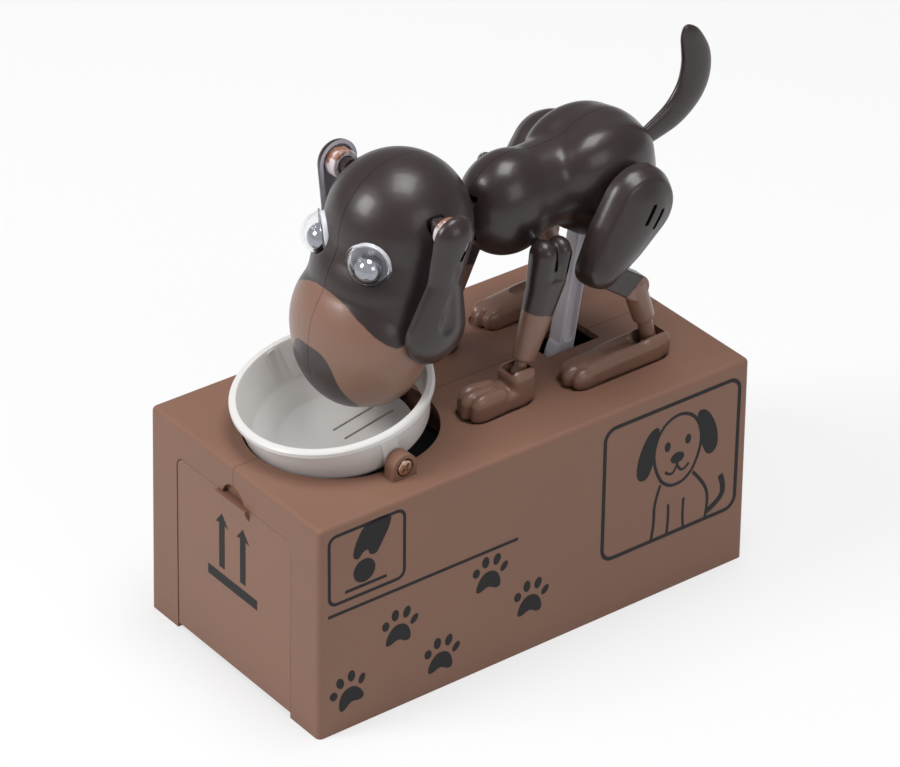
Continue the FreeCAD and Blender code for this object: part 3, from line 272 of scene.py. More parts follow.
def cut(mesh, *tools, operation="DIFFERENCE"):
    """The mesh with other meshes taken away, or joined on."""
    held = []
    for tool in tools:
        held.append(bpy.data.objects.new("tool", tool))
        bpy.context.scene.collection.objects.link(held[-1])
    result = worked(mesh, *[
        ("BOOLEAN", {"operation": operation, "object": tool, "solver": "EXACT",
                     "material_mode": "TRANSFER"}) for tool in held])
    for tool in held:
        bpy.data.objects.remove(tool)
    return result


def piece(name, mesh, body, *replaced, slot=None, sharp=38.0):
    """A finished piece from a mesh in millimetres, on its body, instead of CAD nodes."""
    bm = bmesh.new()
    bm.from_mesh(mesh)
    bmesh.ops.remove_doubles(bm, verts=bm.verts, dist=2e-4)
    bmesh.ops.scale(bm, vec=(MM, MM, MM), verts=bm.verts)
    for edge in bm.edges:
        edge.smooth = edge.calc_face_angle(0.0) < math.radians(sharp)
    for face in bm.faces:
        face.smooth = True
    bm.to_mesh(mesh)
    bm.free()
    made = bpy.data.objects.new(name, mesh)
    bpy.context.scene.collection.objects.link(made)
    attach(made, body)
    if replaced:
        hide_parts(*replaced)
    return made


def screw(head, tip, head_r, shank_r, head_high, finish):
    """A pan-head screw with a crossed recess; head is the middle of the head's top."""
    head, tip = Vector(head), Vector(tip)
    down = (tip - head).normalized()
    turn = Matrix.Translation(head) @ down.to_track_quat("Z", "Y").to_matrix().to_4x4()
    crown = cast(rod(head, head + down * head_high, head_r * 0.86, head_r,
                     rounding=head_high * 0.2), finish)
    arms = []
    for angle in (45, 135):
        arm = brick((-head_r * 0.62, -head_r * 0.13, -0.2),
                    (head_r * 0.62, head_r * 0.13, head_high * 0.7))
        bmesh.ops.transform(arm, matrix=turn @ Matrix.Rotation(math.radians(angle), 4, "Z"),
                            verts=arm.verts)
        arms.append(cast(arm, finish))
    shank = cast(rod(head + down * head_high * 0.8, tip, shank_r, shank_r * 0.9), finish)
    return cut(cut(crown, *arms), shank, operation="UNION")


def meshes_in_one(*meshes):
    """Finished meshes put together as one, each face keeping its finish."""
    finishes = []
    bm = bmesh.new()
    for mesh in meshes:
        before = len(bm.faces)
        bm.from_mesh(mesh)
        bm.faces.ensure_lookup_table()
        for material in mesh.materials:
            if material not in finishes:
                finishes.append(material)
        for face in bm.faces[before:]:
            face.material_index = finishes.index(mesh.materials[face.material_index])
    whole = bpy.data.meshes.new("whole")
    bm.to_mesh(whole)
    bm.free()
    for material in finishes:
        whole.materials.append(material)
    return whole


box_screws = [screw((-31.6, y, z), (9.8, y, z), 2.65, 1.4, 1.5, steel)
              for y, z in ((-69.3, 62), (69.3, 61.5), (69.3, 15), (-1.2, 6.5), (-1.2, 61))]
piece("box_screws", meshes_in_one(*box_screws), "base", "housing_screws", slot="steel")

# ------------------------------------------------------------------ printing on the box
# One black pad print on the left wall and one on the coin door: framed pictograms, a rule,
# five paw prints and two arrows. The ink lies a few hundredths of a millimetre proud.

INK_HALF = 0.05
LEAN = math.tan(math.radians(0.6))
LEFT_WALL = Matrix(((0, -LEAN, 1, 40.7), (1, 0, 0, 0), (0, 1, 0, 0), (0, 0, 0, 1)))
DOOR_FACE = Matrix(((1, 0, 0, 0), (0, LEAN, -1, -76.5 - 4.3 * LEAN), (0, 1, 0, 0), (0, 0, 0, 1)))


ink = moulded("printing_ink", paint(24, 21, 22), 0.5, grain=0.6, cloudy=0.15, shine=0.25)


def stamp(outline, rounding=0.0, ring=0.0):
    """A flat printed area from its corners, or only a ring of it along the outline."""
    bm = bmesh.new()
    bm.faces.new([bm.verts.new((u, v, -INK_HALF)) for u, v in outline])
    if rounding:
        bmesh.ops.bevel(bm, geom=bm.verts[:], offset=rounding, affect="VERTICES", segments=8,
                        profile=0.5, material=-1)
    if ring:
        middle = bm.faces[:]
        bmesh.ops.inset_region(bm, faces=middle, thickness=ring, use_even_offset=True,
                               use_boundary=True)
        bmesh.ops.delete(bm, geom=middle, context="FACES")
    sheet = bm.faces[:]
    top = bmesh.ops.extrude_face_region(bm, geom=sheet)
    bmesh.ops.translate(bm, vec=(0, 0, 2 * INK_HALF),
                        verts=[v for v in top["geom"] if isinstance(v, bmesh.types.BMVert)])
    return cast(bm, ink)


def box_corners(u0, u1, v0, v1):
    """The corners of an upright rectangle."""
    return (u0, v0), (u1, v0), (u1, v1), (u0, v1)


def blot(u, v, half_u, half_v, tilt=0.0):
    """A printed oval."""
    count = 28
    turn = Matrix.Rotation(math.radians(tilt), 2)
    rim = [turn @ Vector((half_u * math.cos(math.tau * i / count),
                          half_v * math.sin(math.tau * i / count))) for i in range(count)]
    return stamp([(u + p.x, v + p.y) for p in rim])


def curve_of(points, kind, closed):
    """A smooth curve with the points as its control points."""
    line = bpy.data.curves.new("line", "CURVE")
    line.dimensions = kind
    spline = line.splines.new("NURBS")
    spline.points.add(len(points) - 1)
    for point, (u, v) in zip(spline.points, points):
        point.co = (u, v, 0, 1)
    spline.use_cyclic_u = closed
    spline.use_endpoint_u = not closed
    spline.order_u = 3
    spline.resolution_u = 8
    return line


def from_curve(line, flatten=1.0):
    """The curve as a closed mesh in ink."""
    holder = bpy.data.objects.new("line", line)
    bpy.context.scene.collection.objects.link(holder)
    bpy.context.view_layer.update()
    graph = bpy.context.evaluated_depsgraph_get()
    mesh = bpy.data.meshes.new_from_object(holder.evaluated_get(graph))
    bpy.data.objects.remove(holder)
    mesh.materials.clear()
    bm = bmesh.new()
    bm.from_mesh(mesh)
    bmesh.ops.scale(bm, vec=(1, 1, flatten), verts=bm.verts)
    return cast(bm, ink)


def pen_line(wide, *points, closed=False):
    """A printed line through control points."""
    line = curve_of(points, "3D", closed)
    line.bevel_depth = wide / 2
    line.bevel_resolution = 2
    line.use_fill_caps = True
    return from_curve(line, flatten=2 * INK_HALF / wide)


def patch(*points):
    """A printed area with a smooth outline."""
    line = curve_of(points, "2D", True)
    line.fill_mode = "BOTH"
    line.extrude = INK_HALF
    return from_curve(line)


def moved(mesh, matrix):
    """The mesh put somewhere else."""
    mesh.transform(matrix)
    return mesh


def print_on(name, face, body, *areas):
    """All the printed areas of one face as one piece."""
    sheet = meshes_in_one(*areas)
    sheet.transform(face)
    return piece(name, sheet, body)


def paw_print(u, v, tilt):
    """A pad and four toes."""
    toes = [(-4.9, 3.3, 1.25, 1.5, 12), (-1.9, 6.1, 1.25, 1.85, 6), (2.1, 6.2, 1.25, 1.85, -10),
            (5.0, 3.2, 1.05, 1.7, -34)]
    pad = patch((-4.5, -3.2), (-3.9, 0.2), (-1.8, 2.9), (1.8, 2.9), (3.9, 0.3), (4.5, -2.8),
                (2.7, -3.4), (0.0, -1.8), (-2.7, -3.5))
    place = Matrix.Translation((u, v, 0)) @ Matrix.Rotation(math.radians(tilt), 4, "Z")
    return moved(meshes_in_one(pad, *[blot(*toe) for toe in toes]), place)


paw_prints = [paw_print(u, v, tilt) for u, v, tilt in (
    (-66.0, 10.6, 14), (-49.2, 24.7, -6), (-34.5, 9.3, -6), (-17.8, 29.6, -6), (-2.9, 15.7, -6))]
coin_sign = [
    stamp(box_corners(-73.3, -46.9, 42.3, 65.3), rounding=3.0, ring=1.0),
    patch((-60.2, 65.4), (-51.4, 65.4), (-52.6, 61.0), (-55.0, 57.2), (-56.8, 54.0), (-59.4, 54.6),
          (-59.6, 56.6), (-61.4, 56.4), (-63.0, 54.2), (-65.0, 55.6), (-64.2, 59.2), (-62.6, 62.4)),
    blot(-61.0, 50.2, 3.7, 3.7),
    stamp(box_corners(-67.6, -53.4, 45.0, 46.0), rounding=0.45)]
dog_sign = [
    stamp(box_corners(22.4, 73.2, 18.6, 63.6), rounding=4.5, ring=1.25),
    pen_line(1.1, (44.2, 38.4), (40.4, 45.0), (42.6, 55.6), (50.0, 59.6), (57.4, 55.6),
             (59.6, 45.0), (55.8, 38.4)),
    pen_line(1.1, (44.2, 38.4), (46.4, 36.0), (50.0, 35.2), (53.6, 36.0), (55.8, 38.4)),
    patch((43.4, 57.4), (39.4, 57.0), (35.4, 50.0), (34.6, 42.2), (38.6, 40.4), (41.2, 45.6),
          (42.2, 51.6)),
    patch((56.6, 57.4), (60.6, 57.0), (64.6, 50.0), (65.4, 42.2), (61.4, 40.4), (58.8, 45.6),
          (57.8, 51.6)),
    blot(46.2, 49.2, 1.1, 1.6), blot(53.8, 49.2, 1.1, 1.6), blot(50.0, 44.3, 2.5, 1.8),
    pen_line(0.9, (50.0, 43.0), (50.0, 41.2), (47.6, 38.8), (45.6, 41.0)),
    pen_line(0.9, (50.0, 43.0), (50.0, 41.2), (52.4, 38.8), (54.4, 41.0)),
    pen_line(1.1, (44.0, 37.2), (41.8, 31.6), (42.2, 25.0), (41.2, 19.6)),
    pen_line(1.1, (56.0, 37.2), (60.6, 32.0), (62.6, 25.4), (61.4, 19.6)),
    pen_line(1.0, (47.2, 29.6), (47.6, 24.6), (47.0, 19.6)),
    pen_line(1.0, (53.0, 29.6), (52.6, 24.6), (53.2, 19.6)),
    pen_line(2.0, (61.8, 21.4), (67.2, 23.6), (68.2, 28.4), (66.6, 32.2))]
print_on("left_wall_print", LEFT_WALL, "base", *paw_prints, *coin_sign, *dog_sign,
         stamp(box_corners(-73.3, -7.7, 38.9, 39.9), rounding=0.3))


def up_arrow(u):
    """A straight arrow that points up."""
    return stamp([(u - 1.3, 32.0), (u + 1.3, 32.0), (u + 1.3, 46.6), (u + 3.0, 46.2), (u, 50.0),
                  (u - 3.0, 46.2), (u - 1.3, 46.6)])


print_on("door_print", DOOR_FACE, "door", up_arrow(-5.6), up_arrow(4.4),
         stamp(box_corners(-12.3, 11.2, 26.9, 30.1)))

# ------------------------------------------------------------------ coin door
# One flat flap of the same brown plastic, turning on two pins moulded on its lower edge,
# with a small ledge to pull it by.

wear("front_door", moulded("brown_door", shade(BROWN, 1.03), 0.45, shine=0.25))

# ------------------------------------------------------------------ works inside the box
# A black tray for two cells, a pressed steel motor and acetal gears between two black side
# plates. They are hidden once the box is closed, but each is finished.

black = moulded("black_frame", paint(38, 38, 40), 0.55)
acetal = moulded("acetal_gear", paint(222, 220, 206), 0.42)
wrap = moulded("cell_wrap", paint(44, 62, 96), 0.3, coat=0.4)
can = moulded("motor_can", paint(186, 186, 190), 0.38, metal=1.0)
for name, finish in {
        "battery_tray": black, "battery_door": moulded("brown_hatch", BROWN, 0.5),
        "battery_cell_left": wrap, "battery_cell_right": wrap, "battery_contacts": steel,
        "crank_gear": acetal, "compound_gear_second": acetal, "compound_gear_first": acetal,
        "motor_pinion": acetal, "gearbox_frame_right": black, "gearbox_frame_left": black,
        "gear_axles": steel, "rocker_shaft": steel, "motor": can, "coin_chute": black,
        "battery_door_screw": steel, "foot_pins": steel, "body_pin": steel,
        "tongue_contact": steel, "shoulder_pin": steel, "hip_pin": steel, "neck_pin": steel,
        "tail_pin": steel}.items():
    wear(name, finish)

# ------------------------------------------------------------------ drive post
# The lever that carries the dog, moulded in white acetal as a ribbed bar. It comes up
# through the slot in the lid, from a shaft between the gear plates.

milk = moulded("milk_acetal", paint(222, 218, 224), 0.36, coat=0.15, cloudy=0.03)


def hull(*lumps):
    """The skin stretched round several lumps."""
    bm = together(*lumps)
    bmesh.ops.delete(bm, geom=bm.edges[:] + bm.faces[:], context="EDGES_FACES")
    skin = bmesh.ops.convex_hull(bm, input=bm.verts[:])
    spare = {v for key in ("geom_interior", "geom_unused") for v in skin[key]
             if isinstance(v, bmesh.types.BMVert)}
    bmesh.ops.delete(bm, geom=list(spare), context="VERTS")
    return bm


def kneaded(bm, grain, passes):
    """Lumps worked into one skin on a grid, then smoothed."""
    return worked(cast(bm), ("REMESH", {"mode": "VOXEL", "voxel_size": grain}),
                  ("SMOOTH", {"factor": 0.5, "iterations": passes}))


def in_finish(mesh, finish):
    """The mesh in one finish."""
    mesh.materials.clear()
    mesh.materials.append(finish)
    return mesh


def strap(start, end, start_r, end_r, x0, x1, rounding=0.6):
    """A flat bar with round ends that stands across X, its edges rounded."""
    low, high = min(x0, x1), max(x0, x1)
    bm = hull(*[rod((low, y, z), (high, y, z), r, sides=40)
                for (y, z), r in ((start, start_r), (end, end_r))])
    bmesh.ops.dissolve_limit(bm, angle_limit=0.01, verts=bm.verts, edges=bm.edges)
    if rounding:
        rims = [e for e in bm.edges if abs(e.verts[0].co.x - e.verts[1].co.x) < 1e-4]
        bmesh.ops.bevel(bm, geom=rims, offset=rounding, affect="EDGES", segments=4,
                        profile=0.5, material=-1)
    return bm


SHAFT, TRUNK_ROD = (32.5, 25), (46, 112)
post = together(strap((37.7, 58), (45.2, 106), 2.9, 2.7, -2.6, 2.6, 0.4),
                strap((45.2, 106), TRUNK_ROD, 3.2, 3.4, -2.6, 2.6, 0.4),
                strap((37.9, 60), (38.8, 66.5), 4.3, 3.0, -2.6, 2.6, 0.4))
post = in_finish(kneaded(post, 0.3, 1), milk)
post = cut(post, cast(strap(SHAFT, (37.7, 58), 5.2, 4.6, -3.95, 3.95), milk), operation="UNION")
post = cut(post, cast(rod((-9, *SHAFT), (9, *SHAFT), 2.08)),
           cast(rod((-9, *TRUNK_ROD), (9, *TRUNK_ROD), 1.56)),
           cast(brick((-9, 33.1, 41.4), (9, 38.3, 48.6), 0.4)))
channels = [cast(strap((39.6, 70), (44.7, 102), 1.9, 1.8, sign * 0.7, sign * 6, 0.3))
            for side, sign in SIDES]
piece("drive_post_moulding", cut(post, *channels), "rocker", "drive_post", slot="white_plastic")

# ------------------------------------------------------------------ feeding bowl
# A turned-looking dish in off-white plastic with a rolled rim, a sloping band above a flat
# floor, two slits beside a springy tongue, and a slot at the back where a coin slides out.

BOWL = Matrix.Translation((0, -42.8, 82.0)) @ Matrix.Rotation(math.radians(11.0), 4, "X")
pearl = moulded("bowl_white", paint(218, 216, 213), 0.33, coat=0.15, cloudy=0.03)


def turned(*profile):
    """A round shape spun from its section, given as radius and height."""
    bm = bmesh.new()
    section = [bm.verts.new((r, 0, z)) for r, z in profile]
    ribs = [bm.edges.new(pair) for pair in zip(section, section[1:])]
    bmesh.ops.spin(bm, geom=section + ribs, cent=(0, 0, 0), axis=(0, 0, 1), angle=math.tau,
                   steps=128, use_merge=True)
    return cast(bm, pearl)


inner_wall = ((0.0, -17.0), (17.6, -17.0), (18.6, -16.6), (23.6, -12.3), (24.2, -11.3),
              (26.2, -0.9))
dish = turned(*inner_wall, (26.7, -0.1), (27.4, 0.0), (28.3, -0.15), (28.75, -0.6),
              (28.75, -1.8), (28.5, -2.1), (27.6, -2.3), (26.0, -11.2), (25.5, -12.3),
              (19.6, -18.1), (18.6, -18.6), (0.0, -18.6))
room = turned(*inner_wall, (26.2, 2.0), (0.0, 2.0))
exit_slot = cast(brick((-14, 15.0, -16.9), (14, 32, -11.0), 0.3))
slits = [cast(brick((sign * 2.3, -0.5, -20), (sign * 3.1, 16.5, -15))) for side, sign in SIDES]
lugs = [cast(strap((-0.4, -10.7), (-1.6, -3.0), 2.8, 2.5, sign * 24.4, sign * 27.5, 0.5), pearl)
        for side, sign in SIDES]
bores = [cast(rod((sign * 25.3, -0.49, -10.7), (sign * 28.5, -0.49, -10.7), 1.36))
         for side, sign in SIDES]
dish = cut(cut(dish, *lugs, operation="UNION"), room, exit_slot, *slits, *bores)
piece("feeding_bowl", moved(dish, BOWL), "bowl", "bowl", slot="bowl_plastic", sharp=30)
bowl_screws = [screw((sign * 32.15, -41.2, 71.4), (sign * 25.6, -41.2, 71.4), 2.6, 1.28, 0.95,
                     brass) for side, sign in SIDES]
piece("bowl_pivot_screws", meshes_in_one(*bowl_screws), "base", "bowl_screws", slot="steel")

# ------------------------------------------------------------------ paws
# Four feet of the brown plastic, glued in shallow seats in the lid: three toes with
# grooves between them, a dip, and a heel that is hollowed for the ball of the leg.

LID_SEAT = 67.25
paw_brown = moulded("brown_paw", shade(BROWN, 0.9), 0.36, coat=0.1)


def foot(end, side, sign, x, toes, instep, heel, socket, trough=None):
    """One foot, made for the left side and turned over for the right one.

    toes: front y, height and half length; instep: rows of y, half width and height; heel:
    y from and to, half width and height; socket: y from and to, and floor of the hollow."""
    toe_y, toe_high, toe_long = toes
    lumps = []
    for shift, back in ((-3.1, 1.3), (0.0, 0.0), (3.1, 1.3)):
        front, rear = (x + shift, toe_y + back), (x + shift * 0.86, toe_y + back + 6.0)
        lumps.append(hull(
            ball_of((*front, toe_high - 3.6), (2.2, toe_long, 3.6)),
            ball_of((*rear, toe_high - 3.8), (2.1, 3.0, 3.4)),
            ball_of((*front, 68.6), (2.1, toe_long, 1.3)),
            ball_of((*rear, 68.6), (2.1, 3.0, 1.3))))
    for row in instep:
        lumps.append(hull(*[lump for y, half, high in row for lump in (
            ball_of((x, y, high - 3.0), (half, half, 3.0)),
            ball_of((x, y, 68.4), (half, half, 1.2)))]))
    heel_y0, heel_y1, heel_half, heel_top = heel
    lumps.append(brick((x - heel_half, heel_y0, 67.3), (x + heel_half, heel_y1, heel_top), 2.4))
    body = in_finish(kneaded(together(*lumps), 0.4, 7), paw_brown)
    y0, y1, low = socket
    cuts = [cast(brick((x - 2.8, y0, low), (x + 2.8, y1, heel_top + 6), 0.6)),
            cast(brick((x - 12, -30, 60), (x + 12, 90, LID_SEAT)))]
    if trough:
        near, far, deep = trough
        cuts.append(cast(hull(ball_of((x, near, heel_top + 0.5), (2.6, 2.4, deep * 0.7)),
                              ball_of((x, far, heel_top + 0.5), (3.0, 2.4, deep)))))
    shape = cut(body, *cuts)
    if sign < 0:
        shape.transform(Matrix.Diagonal((-1, 1, 1, 1)))
        shape.flip_normals()
    piece(f"{end}_foot_{side}", shape, "base", f"{end}_paw_{side}", slot="brown_shell")


for side, sign in SIDES:
    foot("front", side, sign, 17.3, (-6.4, 75.6, 4.4),
         [((-3.0, 4.7, 74.6), (1.5, 4.6, 73.8)), ((1.5, 4.6, 73.8), (8.0, 4.7, 75.0))],
         (4.4, 13.3, 4.6, 78.7), (5.2, 12.7, 72.5))
    foot("hind", side, sign, 20.2, (27.6, 73.4, 4.4),
         [((31.0, 5.1, 74.2), (41.0, 5.2, 75.1)), ((41.0, 5.2, 75.1), (54.0, 5.2, 75.1))],
         (49.2, 59.8, 5.0, 75.1), (49.9, 58.4, 68.7), trough=(38.5, 48.5, 3.6))

# ------------------------------------------------------------------ front legs
# Two-coloured legs: moulded brown, then sprayed dark brown above the knee. The cap closes
# over the shoulder rod, with a round roll in front and two slits in its outer face.

DARK = paint(47, 36, 34)
SPRAYED = shade(BROWN, 0.92)
ANKLE = (9.4, 76.0)


def leg_spray(x, y, z, flow):
    """Brown below a line square to the leg."""
    along = (y - 11.7) * 0.338 + (z - 83.6) * 0.941 + (flow - 0.5) * 0.5
    return [(1 - along.over(11.2, 0.3), SPRAYED)]


leg_finish = moulded("sprayed_leg", DARK, 0.34, coats=leg_spray, coat=0.15)
# Near-black painted shade for the walls of slits, slots and pin pockets, standing in for the dark
# inside deep narrow openings.
slit_painted_shade = moulded("slit_shadow", paint(14, 12, 12), 0.6)
for side, sign in SIDES:
    lumps = [
        hull(ball_of((sign * 17.4, 17.2, 111.4), (4.3, 3.9, 4.6)),
             ball_of((sign * 17.6, 16.0, 103.0), (4.0, 3.8, 4.0))),
        hull(ball_of((sign * 17.4, 22.8, 111.2), (4.2, 3.2, 4.2)),
             ball_of((sign * 17.6, 20.6, 102.4), (3.9, 3.4, 3.6))),
        hull(ball_of((sign * 17.4, 20.0, 108.4), (3.9, 5.0, 3.4)),
             ball_of((sign * 17.6, 18.4, 101.0), (4.0, 5.2, 3.4))),
        hull(rod((sign * 17.7, 16.8, 104), (sign * 17.8, 10.2, 80.6), 4.2, 2.9),
             rod((sign * 17.7, 20.4, 104), (sign * 17.8, 11.4, 80.6), 4.2, 2.9)),
        rod((sign * 17.3, 12.0, 84.0), (sign * 17.3, *ANKLE), 1.9, 1.9),
        ball_of((sign * 17.3, *ANKLE), (2.3, 2.5, 2.6))]
    leg = in_finish(kneaded(together(*lumps), 0.35, 8), leg_finish)
    # The slit walls are lined with the near-black painted shade.
    slits = [cast(hull(*[brick((sign * 21.2 - 2.2, y - 0.55, z - 0.3),
                               (sign * 21.2 + 1.6, y + 0.55, z + 0.3)) for y, z in ends]),
                  slit_painted_shade)
             for ends in (((19.6, 113.0), (18.6, 107.6)), ((24.2, 111.6), (22.9, 106.0)))]
    piece(f"front_leg_shell_{side}", cut(leg, *slits), f"front_leg_{side}",
          f"front_leg_{side}", slot="dark_shell")

# ------------------------------------------------------------------ hind legs
# A hollow thigh like half an egg, left white inside, with two slits at the back of its
# outer face, and a bent shank under it: boxy and dark at the knee, round and brown below.


def shank_spray(x, y, z, flow):
    """Brown beyond a line across the hock."""
    knee = (y - 45.85) * -0.636 + (z - 93.35) * 0.771 + (flow - 0.5) * 0.4
    return [(1 - knee.over(0.0, 0.3), SPRAYED)]


dark_shell = moulded("dark_shell", DARK, 0.33, coat=0.15)
raw_white = moulded("raw_white", paint(196, 192, 204), 0.4)
shank_finish = moulded("sprayed_shank", DARK, 0.34, coats=shank_spray, coat=0.1)


HIP, KNEE, HEEL = (50.4, 115), (33.4, 102.8), (54.6, 72.0)


def pillow(sign, inset, reach, base):
    """The thigh's egg outline: straight out from its open side, then domed."""
    lumps = []
    for y, z, r in ((47.8, 119.0, 11.6), (41.4, 111.7, 10.0), (34.2, 103.6, 6.4)):
        r -= inset
        lumps += [ball_of((sign * 20.0, y, z), (reach, r, r)),
                  rod((sign * base, y, z), (sign * 20.6, y, z), r, sides=48),
                  rod((sign * base, y, z), (sign * (25.0 - inset), y, z), r * 0.82, sides=48)]
    return hull(*lumps)


for side, sign in SIDES:
    thigh = in_finish(kneaded(pillow(sign, 0.0, 7.4, 15.5), 0.45, 8), dark_shell)
    inner = cast(brick((sign * 10, 10, 80), (sign * 18.4, 80, 150)), raw_white)
    cavity = cast(pillow(sign, 1.8, 4.6, 12.0), raw_white)
    way_out = cast(hull(*[brick((sign * 12, y - 0.1, z - 0.1), (sign * 23.7, y + 0.1, z + 0.1))
                          for y, z in ((27.9, 94.8), (51.4, 86.8), (53.4, 106.4),
                                       (40.0, 106.4))]), raw_white)
    # The slit walls are lined with the near-black painted shade.
    slits = [cast(hull(*[brick((sign * 25.0, y - 0.6, z - 0.35), (sign * 30, y + 0.6, z + 0.35))
                         for y, z in ends]), slit_painted_shade)
             for ends in (((48.8, 121.0), (45.8, 116.0)), ((52.0, 118.6), (49.0, 113.6)))]
    collar = cast(rod((sign * 19.8, *HIP), (sign * 24.3, *HIP), 4.0), raw_white)
    seat = cast(rod((sign * 19.4, *HIP), (sign * 25.4, *HIP), 2.4), raw_white)
    stud = cast(rod((sign * 20.0, *KNEE), (sign * 25.2, *KNEE), 1.5), raw_white)
    shell = cut(thigh, inner, cavity, way_out, *slits)
    shell = cut(cut(shell, collar, stud, operation="UNION"), seat)
    piece(f"thigh_shell_{side}", shell, f"thigh_{side}", f"thigh_{side}", slot="dark_shell")
    lumps = [
        strap(KNEE, (47.6, 92.6), 3.7, 3.9, sign * 20.1, sign * 23.2, 0.5),
        strap((39.0, 98.8), (47.8, 92.4), 3.5, 4.0, sign * 17.2, sign * 23.2, 0.7),
        rod((sign * 20.2, 47.6, 94.0), (sign * 20.2, 52.3, 80.6), 3.6, 3.3, rounding=0.4),
        rod((sign * 20.2, 52.4, 80.4), (sign * 20.2, *HEEL), 2.3, 2.3),
        ball_of((sign * 20.2, *HEEL), (2.4, 2.8, 2.8))]
    shank = in_finish(kneaded(together(*lumps), 0.35, 2), shank_finish)
    bore = cast(rod((sign * 16, *KNEE), (sign * 26, *KNEE), 1.6))
    piece(f"shank_bar_{side}", cut(shank, bore), f"shank_{side}", f"shank_{side}",
          slot="dark_shell")

# ------------------------------------------------------------------ trunk
# Two hollow halves in dark brown, sprayed satin, screwed together on the middle plane:
# chest, waist and rump flow into each other. Slots take the neck, the post and the tail.

SEAM_GAP = 0.05
TRUNK_SCREWS = ((17.5, 129), (40, 130))


def halves(name, mesh, finish, body, *replaced):
    """Split a body on the middle plane, with a fine chamfer along the seam."""
    for node, (side, sign) in zip(replaced, SIDES):
        half = cut(mesh.copy(),
                   cast(brick((-sign * 60, -90, 50), (sign * SEAM_GAP, 100, 180)), finish))
        bm = bmesh.new()
        bm.from_mesh(half)
        rim = [e for e in bm.edges if all(abs(v.co.x - sign * SEAM_GAP) < 1e-3 for v in e.verts)
               and any(f.normal.x * sign > -0.9 for f in e.link_faces)]
        bmesh.ops.bevel(bm, geom=rim, offset=0.08, affect="EDGES", segments=1, profile=0.5,
                        material=-1, clamp_overlap=True)
        bm.to_mesh(half)
        bm.free()
        piece(f"{name}_{side}", half, body, node, slot="dark_shell")


trunk = kneaded(together(
    ball_of((0, 17.5, 120.5), (12.4, 15.2, 15.8)),
    hull(ball_of((0, 19, 121.2), (11.6, 12.4, 13.4)), ball_of((0, 34, 122.4), (12.0, 9.0, 12.8))),
    hull(ball_of((0, 34, 122.4), (12.0, 9.0, 12.8)), ball_of((0, 47, 121.6), (14.6, 13.0, 15.4))),
    ball_of((6.2, 46.6, 126.2), (10.0, 17.4, 12.6)),
    ball_of((-6.2, 46.6, 126.2), (10.0, 17.4, 12.6)),
    ball_of((0, 48.5, 120.5), (16.9, 18.6, 19.0))), 0.6, 60)
trunk = cut(in_finish(trunk, dark_shell),
            cast(brick((-3.5, -10, 113.6), (3.5, 8, 127.4), 0.4), dark_shell),
            cast(brick((-4.8, 34, 95), (4.8, 53, 107), 0.4), dark_shell),
            cast(brick((-2.7, 57.5, 117.4), (2.7, 75, 130.4), 0.3), dark_shell),
            *[cast(rod((-30, y, z), (-11, y, z), 2.8), dark_shell) for y, z in TRUNK_SCREWS])
halves("trunk_half", trunk, dark_shell, "trunk", "body_left", "body_right")
trunk_screws = [screw((-11.0, y, z), (7.5, y, z), 2.5, 1.35, 1.0, steel)
                for y, z in TRUNK_SCREWS]
piece("trunk_screws", meshes_in_one(*trunk_screws), "trunk", "body_screws", slot="steel")
wear("neck_arm", dark_shell)

# ------------------------------------------------------------------ tail
# A curved blade of the dark plastic, thickest in the middle and drawn out to a rounded
# tip, pinned in the slot in the rump.

tail_line = bpy.data.curves.new("tail_line", "CURVE")
tail_line.dimensions = "3D"
tail_line.bevel_depth = 1.0
tail_line.bevel_resolution = 8
tail_line.use_fill_caps = True
blade = tail_line.splines.new("NURBS")
blade_points = ((61.0, 122.6, 2.4), (66.0, 124.4, 3.0), (72.0, 126.6, 3.8),
                (78.6, 129.6, 4.8), (84.4, 136.0, 5.7), (85.6, 143.6, 5.5),
                (83.6, 150.0, 4.3), (81.4, 154.4, 2.9), (80.6, 156.0, 1.0))
blade.points.add(len(blade_points) - 1)
for point, (y, z, r) in zip(blade.points, blade_points):
    point.co = (0, y, z, 1)
    point.radius = r
blade.use_endpoint_u = True
blade.order_u = 3
blade.resolution_u = 10
flat_tail = moved(from_curve(tail_line), Matrix.Diagonal((0.42, 1, 1, 1)))
bm = bmesh.new()
bm.from_mesh(flat_tail)
tail = in_finish(kneaded(bm, 0.35, 3), dark_shell)
tail = cut(tail, cast(rod((-9, 62.5, 123.4), (9, 62.5, 123.4), 1.06)))
piece("tail_blade", tail, "tail", "tail", slot="tail_plastic")

# ------------------------------------------------------------------ head
# Two hollow halves like the trunk's: a round skull over a heavy muzzle. The muzzle is
# sprayed brown through a mask, and the nose is left dark.


def face_spray(x, y, z, flow):
    """Brown muzzle under an arched edge, with the dark nose kept clear."""
    ragged = (flow - 0.5) * 0.5
    arch = 114.4 - x * x * 0.026 + (y + 36.4).at_least(0.0) * 0.28
    front = 1 - (y + (z - 97.0) * 0.35).over(-18.0, 0.4)
    muzzle = (arch - z + ragged).over(0.0, 0.3) * front
    across = x / (12.6 - (z - 82.0) * 0.32)
    upright = (z - 88.6) / 9.6
    across, upright = across * across, upright * upright
    nose = across * across + upright * upright
    patch_on = (1 - (nose + ragged * 0.05).over(1.0, 0.06)) * (1 - y.over(-38.0, 0.3))
    return [(muzzle, shade(BROWN, 0.98)), (patch_on, DARK)]


